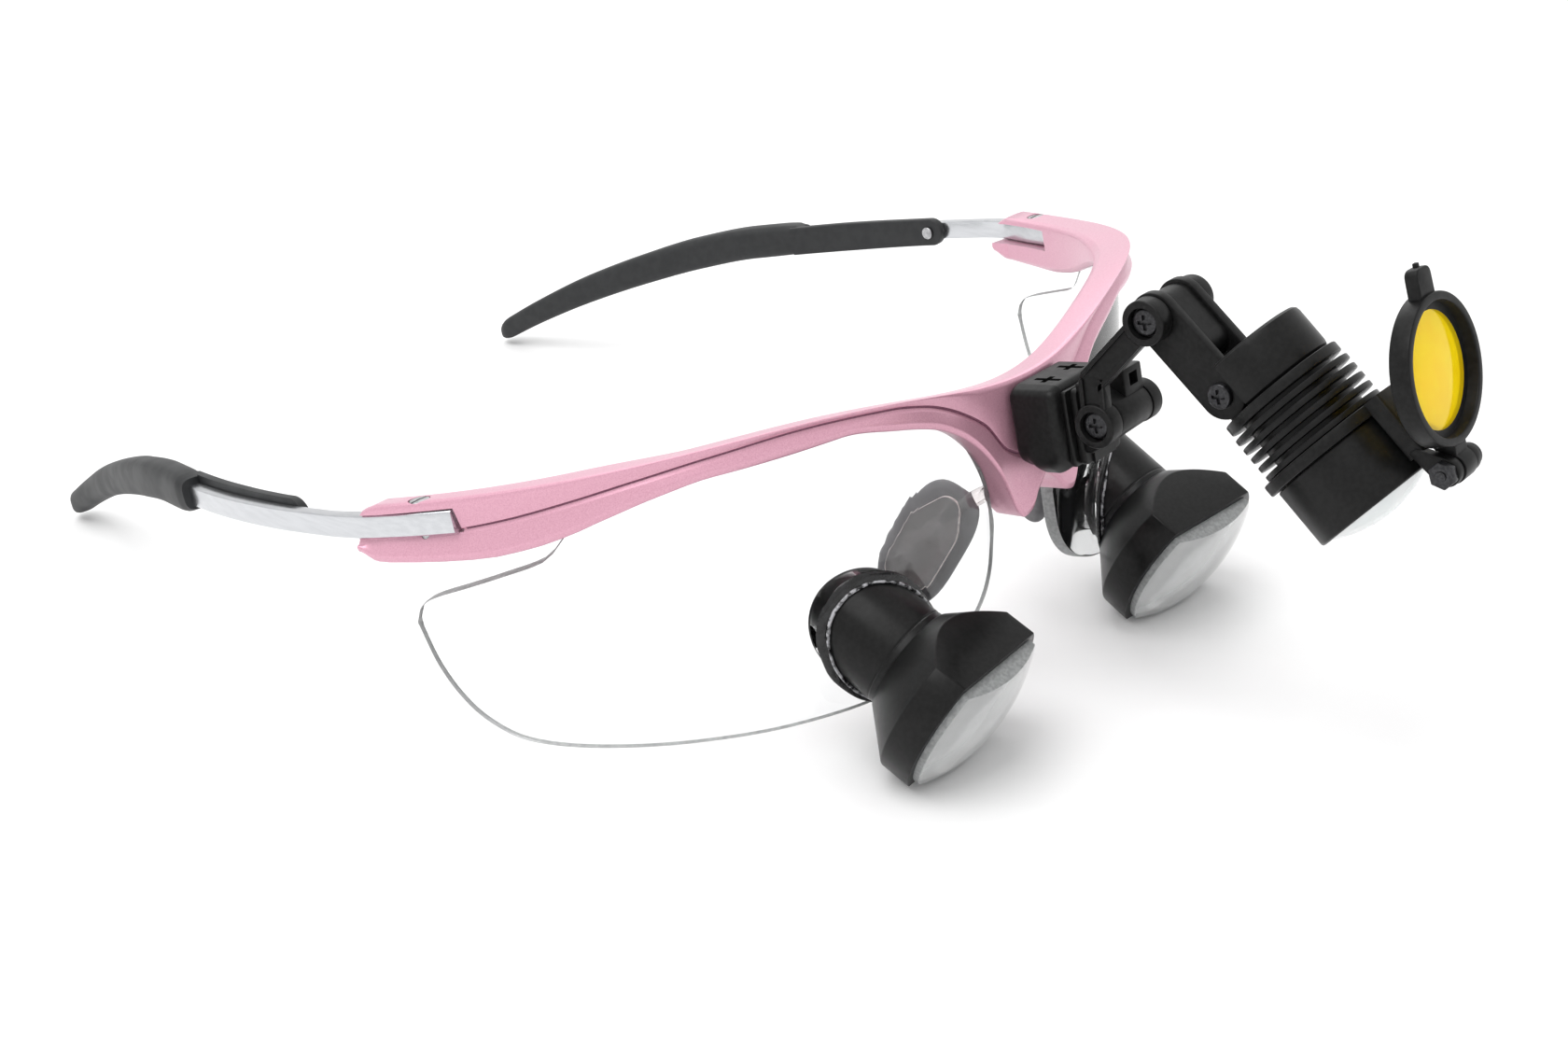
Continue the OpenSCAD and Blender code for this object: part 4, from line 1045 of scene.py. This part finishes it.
def make_lamp_rear():
    cap = disc(CAP_RADIUS, 0, CAP_LENGTH, 0.9, 120)
    cutters = [
        block(TONGUE_HALF, 12, -12, TONGUE_TOP, -1, CAP_LENGTH - 0.1),
        block(-12, -TONGUE_HALF, -12, TONGUE_TOP, -1, CAP_LENGTH - 0.1),
        rod(PIVOT_RADIUS + 0.05, -4, 4, LAMP_PIVOT_LOCAL.yz),
        moved(disc(SOCKET_RADIUS, -1, CAP_LENGTH + 2, 0, 48), shift(0, SOCKET_Y, 0)),
    ]
    shape = softened(cut(cap, *cutters), 0.15, 2, 40)
    piece("lamp_cap_shell", shape, LAMP, "anodised_black", ["lamp_rear_cap"])
    outline = rounded([
        (JACK_RADIUS, 0.25, 0.15), (1.6, 0.02, 0.1), (SOCKET_RADIUS - 0.02, 0.02, 0.12),
        (SOCKET_RADIUS - 0.02, CAP_LENGTH), (0, CAP_LENGTH), (0, 4), (JACK_RADIUS, 4),
    ])
    socket = turned(outline, 48)
    piece("power_inlet_sleeve", socket, LAMP @ shift(0, SOCKET_Y, 0), "black_plastic", ["power_socket"])


def make_heat_sink():
    flange = LAMP_RADIUS - 0.15
    outline = [
        (0, CAP_LENGTH), (flange, CAP_LENGTH, 0.2), (flange, FINS_START, 0.2),
        (CORE_RADIUS, FINS_START, 0.05),
    ]
    for i in range(1, FIN_COUNT + 1):
        end = FINS_START + i * FIN_PITCH
        start = end - FIN_THICK
        outline += [(CORE_RADIUS, start, 0.05), (LAMP_RADIUS, start, 0.14), (LAMP_RADIUS, end, 0.14)]
        outline.append((CORE_RADIUS if i < FIN_COUNT else GROOVE_RADIUS, end, 0.05))
    outline += [(GROOVE_RADIUS, BOARD_START, 0), (0, BOARD_START, 0)]
    piece("heat_sink_fins", turned(rounded(outline), 120), LAMP, "anodised_black", ["heat_sink"])


def make_lamp_front():
    end = LAMP_LENGTH
    outline = [
        (GROOVE_RADIUS, SLEEVE_START, 0), (LAMP_RADIUS, SLEEVE_START, 0.25), (LAMP_RADIUS, end, 0.5),
        (GROOVE_RADIUS + 0.35, end, 0.2), (GROOVE_RADIUS, end - 0.5, 0.1),
    ]
    piece("lamp_sleeve_shell", turned(rounded(outline), 120), LAMP, "anodised_black", ["lamp_front_sleeve"])
    window = turned(dome(GROOVE_RADIUS - 0.01, end - 1.1, end, WINDOW_SAG), 96)
    piece("lamp_window_dome", window, LAMP, "optic_glass", ["lamp_window"], "lamp_window")


# ---- curing filter ----
FILTER_HINGE = Vector((11, 26))
FILTER_REACH = 11.2
FILTER_RADIUS = 8.7
RING_HALF = 1.25
LUG_HALF = 1.45
EAR_IN = 1.55
EAR_OUT = 2.9
KNUCKLE_RADIUS = 1.85
EAR_RADIUS = 1.7
BAR_LOW = 8.9
BAR_TOP = 10.7
BAR_HALF = 2.7
BAR_END = 22.6
GLASS_RADIUS = 7.3
GLASS_THICK = 1


def make_filter_clamp():
    low = GROOVE_START + 0.1
    high = low + GROOVE_WIDTH - 0.2
    ring = tube_ring(GROOVE_RADIUS, 9, low, high, 0.25, 120)
    gap = moved(block(0, 20, 0, 20, low - 1, high + 1), spin(240, "Z"))
    ring = cut(ring, gap)
    outline = [(-BAR_HALF, 8.3), (BAR_HALF, 8.3), (BAR_HALF, BAR_TOP, 0.5), (-BAR_HALF, BAR_TOP, 0.5)]
    strap = prism(rounded(outline), low, BAR_END)
    clear = disc(BAR_LOW, high, 30, 0, 96)
    strap = softened(cut(strap, clear), 0.2)
    ears = []
    foot, head, start = BAR_LOW + 0.1, BAR_TOP - 0.6, BAR_END - 0.8
    outline = wrapped(rectangle(foot, head, start, BAR_END) + circle(FILTER_HINGE, EAR_RADIUS))
    for x0, x1 in ((-EAR_OUT, -EAR_IN), (EAR_IN, EAR_OUT)):
        ears.append(softened(prism(outline, x0, x1, ACROSS), 0.18))
    hole = moved(disc(0.9, -2, 4, 0, 32), shift(0, BAR_LOW, 18.6) @ spin(-90, "X"))
    shape = cut(joined(ring, strap, *ears), hole, rod(0.6, -4, 4, FILTER_HINGE, 0, 32))
    piece("filter_clamp_ring", shape, LAMP, "black_plastic", ["filter_clamp"])


def make_filter_hinge():
    shank = rod(0.58, -EAR_OUT - 1.3, EAR_OUT + 0.1)
    head = rod(1.5, EAR_OUT, EAR_OUT + 0.8, (0, 0), 0.25)
    screw = moved(joined(head, shank), shift(0, *FILTER_HINGE))
    piece("filter_hinge_pin", screw, LAMP, "black_screw", ["filter_hinge_screw"])
    hexagon = circle((0, 0), 1.45 / math.cos(math.pi / 6), 6)
    nut = softened(prism(hexagon, -EAR_OUT - 1.1, -EAR_OUT, ACROSS), 0.14)
    nut = moved(cut(nut, rod(0.6, -6, 0)), shift(0, *FILTER_HINGE))
    piece("filter_hinge_hex_nut", nut, LAMP, "black_screw", ["filter_hinge_nut"])


def make_filter():
    low = -RING_HALF
    outline = [
        (GLASS_RADIUS - 0.6, low, 0.05), (FILTER_RADIUS, low, 0.3), (FILTER_RADIUS, RING_HALF, 0.3),
        (GLASS_RADIUS + 0.4, RING_HALF, 0.2), (GLASS_RADIUS + 0.3, low + 1.15, 0.05),
        (GLASS_RADIUS - 0.6, low + 1.1, 0.05),
    ]
    middle = shift(0, FILTER_REACH, 0)
    ring = moved(turned(rounded(outline), 120), middle)
    lug = softened(block(-LUG_HALF, LUG_HALF, 0, 3.4, -1, 1), 0.1)
    knuckle = rod(KNUCKLE_RADIUS, -LUG_HALF + 0.01, LUG_HALF - 0.01, (0, 0), 0.12)
    far = FILTER_REACH + FILTER_RADIUS
    outline = [(-1.8, far - 0.6), (1.8, far - 0.6), (1.75, far + 3, 1.1), (-1.7, far + 3.1, 1.1)]
    tab = softened(prism(rounded(outline, steps=5), -0.8, 0.8), 0.22, 3)
    nub = softened(block(0.1, 0.8, far + 2.6, far + 3.5, -0.5, 0.1), 0.15)
    shape = joined(ring, lug, knuckle, tab, nub)
    seat = moved(disc(GLASS_RADIUS, low + 0.1, low + 0.1 + GLASS_THICK), middle)
    shape = cut(shape, seat, rod(0.65, -3, 3))
    piece("filter_ring_frame", shape, FILTER, "black_plastic", ["filter_frame"])
    glass = disc(GLASS_RADIUS - 0.01, low + 0.11, low + 0.09 + GLASS_THICK, 0.1, 96)
    piece("amber_filter_glass", moved(glass, middle), FILTER, "amber_glass", ["filter_glass"])


# ---- temples: centre line in plan as (y, x), and the sleeve's rise and size against y ----
ARM_HEIGHT = 3
ARM_THICK = 1.8
ARM_START, ARM_END = 39.5, 110
SLEEVE_THICK = 4.4
SLEEVE_START_Y, SLEEVE_END_Y = 93.4, 160
FLAP_START, FLAP_END = 65, 95.5
RIVET_Y = 67.6
ARM_LINE = through([
    (39.5, 64.05), (44, 65.9), (48.4, 67.6), (52.5, 69), (58, 69.6), (66, 69.5), (74, 68.9),
    (83, 67.7), (93, 65.6), (103, 62.9), (110, 60.9),
])
ARM_WIDTH = through([(39.5, 3.1), (44, 3.1), (48.4, 2.7), (52.5, 2.1), (58, ARM_THICK), (110, ARM_THICK)])
SLEEVE_LINE = through([
    (93.4, 65.5), (95, 65.1), (103, 62.9), (114, 59.9), (126, 56.1), (138, 52.4), (149, 49.6),
    (158.5, 47.9), (160, 47.7),
])
SLEEVE_RISE = through(
    [(93.4, 1), (103, 1), (114, 0.1), (126, -1.9), (138, -4.6), (149, -7.9), (158.5, -11.3), (160, -11.9)]
)
SLEEVE_HALF = through(
    [(93.4, 2.5), (97, 2.8), (103, 2.85), (114, 2.85), (126, 2.7), (138, 2.5), (149, 2.2), (160, 1.9)]
)


def plan_ring(line, y, outline, rise):
    """A section across a line in plan: outline as (offset to the line's right, height)."""
    slope = (line(y + 0.2) - line(y - 0.2)) / 0.4
    along = Vector((slope, 1)).normalized()
    return [(line(y) + along.y * a, y - along.x * a, rise + b) for a, b in outline]


def make_arm(side, place):
    rings = []
    for t in fractions(90):
        y = ARM_START + (ARM_END - ARM_START) * t
        half = ARM_WIDTH(y) / 2
        h = ARM_HEIGHT / 2
        outline = rounded([(half, -h), (half, h), (-half, h), (-half, -h)], 0.4)
        rings.append(plan_ring(ARM_LINE, y, outline, LEFT_HINGE.z))
    shape = skin(rings)
    hole = moved(disc(0.86, -5, 5, 0, 32), shift(*LEFT_HINGE))
    rivet = rod(0.6, ARM_LINE(RIVET_Y) - 4, ARM_LINE(RIVET_Y) + 0.1, (RIVET_Y, LEFT_HINGE.z), 0, 32)
    shape = cut(shape, hole, rivet)
    name = f"{side}_temple"
    piece(f"{name}_metal_arm", shape, place, "arm_metal", [f"{name}_arm"])


def sleeve_body():
    """The sleeve round the arm's end and behind it, with a narrowed mouth and a rounded tip."""
    rings = []
    for s in fractions(110):
        y = SLEEVE_START_Y + (SLEEVE_END_Y - SLEEVE_START_Y) * s
        tip = math.sqrt(max(1 - ((s - 0.955) / 0.0455) ** 2, 0.03)) if s > 0.955 else 1
        mouth = 0.86 + 0.14 * eased(s, 0, 0.02)
        half = SLEEVE_HALF(y) * tip * mouth
        thick = SLEEVE_THICK / 2 * (1 - 0.1 * s) * tip * mouth
        rings.append(plan_ring(SLEEVE_LINE, y, oval(thick, half, 3.2, 36), SLEEVE_RISE(y)))
    return skin(rings)


def sleeve_flap():
    """The flap that runs forward from the sleeve along the arm's inner side, with a round end."""
    rings = []
    for t in fractions(60):
        y = FLAP_START + (FLAP_END - FLAP_START) * t**2
        short = max(1 - (y - FLAP_START + 0.02) / 2.3, 0)
        half = (2.3 + 0.15 * eased(y, 68, 86)) * math.sqrt(1 - short**2)
        outline = rounded([(0, half, 0.05), (-1.25, half, 0.45), (-1.25, -half, 0.45), (0, -half, 0.05)])
        outline = [(a - ARM_THICK / 2 - 0.04, b) for a, b in outline]
        rings.append(plan_ring(ARM_LINE, y, outline, LEFT_HINGE.z))
    return skin(rings)


def make_sleeve(side, place):
    name = f"{side}_temple"
    shape = joined(sleeve_body(), sleeve_flap())
    piece(f"{name}_rubber_sleeve", shape, place, "sleeve_rubber", [f"{name}_sleeve"])
    x = ARM_LINE(RIVET_Y) - ARM_THICK / 2
    outline = [
        (0, 0.8), (0.58, 0.8), (0.58, -1.42), (1.02, -1.42, 0.05), (1.02, -1.75, 0.25), (0, -1.8),
    ]
    rivet = moved(turned(rounded(outline), 48), shift(x, RIVET_Y, LEFT_HINGE.z) @ spin(90, "Y"))
    piece(f"{side}_rivet_button", rivet, place, "steel", [f"{side}_sleeve_rivet"])


# ---- CAD nodes that stay as they are, with their finishes ----
def finish_kept_nodes():
    kept = {
        "bridge_screws": "steel",
        "led_board": "board_green",
        "led_chip": "led_yellow",
        "collimator": "lamp_window",
    }
    for name, finish in kept.items():
        node = frame["nodes"][name]
        painted(node, finish)


# ---- stage ----
FLOOR_SIZE = 12
FLOOR_DROP = 0.0003
SKY_STRENGTH = 0.95
LIGHT_TARGET = (0, 0, 0.03)


def make_stage():
    half = FLOOR_SIZE / 2
    floor = solid([(x, y, 0) for x, y in rectangle(-half, half, -half, half)], [(0, 1, 2, 3)])
    floor.name = "floor"
    floor.location.z = -FLOOR_DROP
    painted(floor, "floor")
    world = bpy.data.worlds.new("world")
    world.use_nodes = True
    background = world.node_tree.nodes["Background"]
    background.inputs["Color"].default_value = (1, 1, 1, 1)
    background.inputs["Strength"].default_value = SKY_STRENGTH
    bpy.context.scene.world = world
    bpy.context.scene.view_settings.view_transform = "Standard"
    add_light("key", (-0.3, 0.05, 0.75), size=0.6, power=3.6)
    add_light("rim", (0.4, 0.35, 0.5), size=0.5, power=1)


def add_light(name, place, size, power):
    """A square light that points at the object; its size is in metres and its power in watts."""
    data = bpy.data.lights.new(name, "AREA")
    data.energy = power
    data.size = size
    light = linked(name, data)
    light.location = place
    light.rotation_mode = "QUATERNION"
    light.rotation_quaternion = (Vector(LIGHT_TARGET) - Vector(place)).to_track_quat("-Z", "Y")


make_frame_front()
for number, (side, place) in enumerate(SIDES.items()):
    make_hinge_screw(side, place)
    make_carrier_lens(side, place)
    make_pad(side, place)
    make_housing(side, place @ LOUPE)
    make_objective(side, place @ LOUPE)
    make_barrel(side, place @ LOUPE)
    make_collar(side, place @ LOUPE, 1.3 + 2 * number)
    make_arm(side, place)
    make_sleeve(side, place)
make_bridge()
make_bracket()
make_pivots()
make_lower_link()
make_upper_link()
make_lamp_rear()
make_heat_sink()
make_lamp_front()
make_filter_clamp()
make_filter_hinge()
make_filter()
finish_kept_nodes()
make_stage()
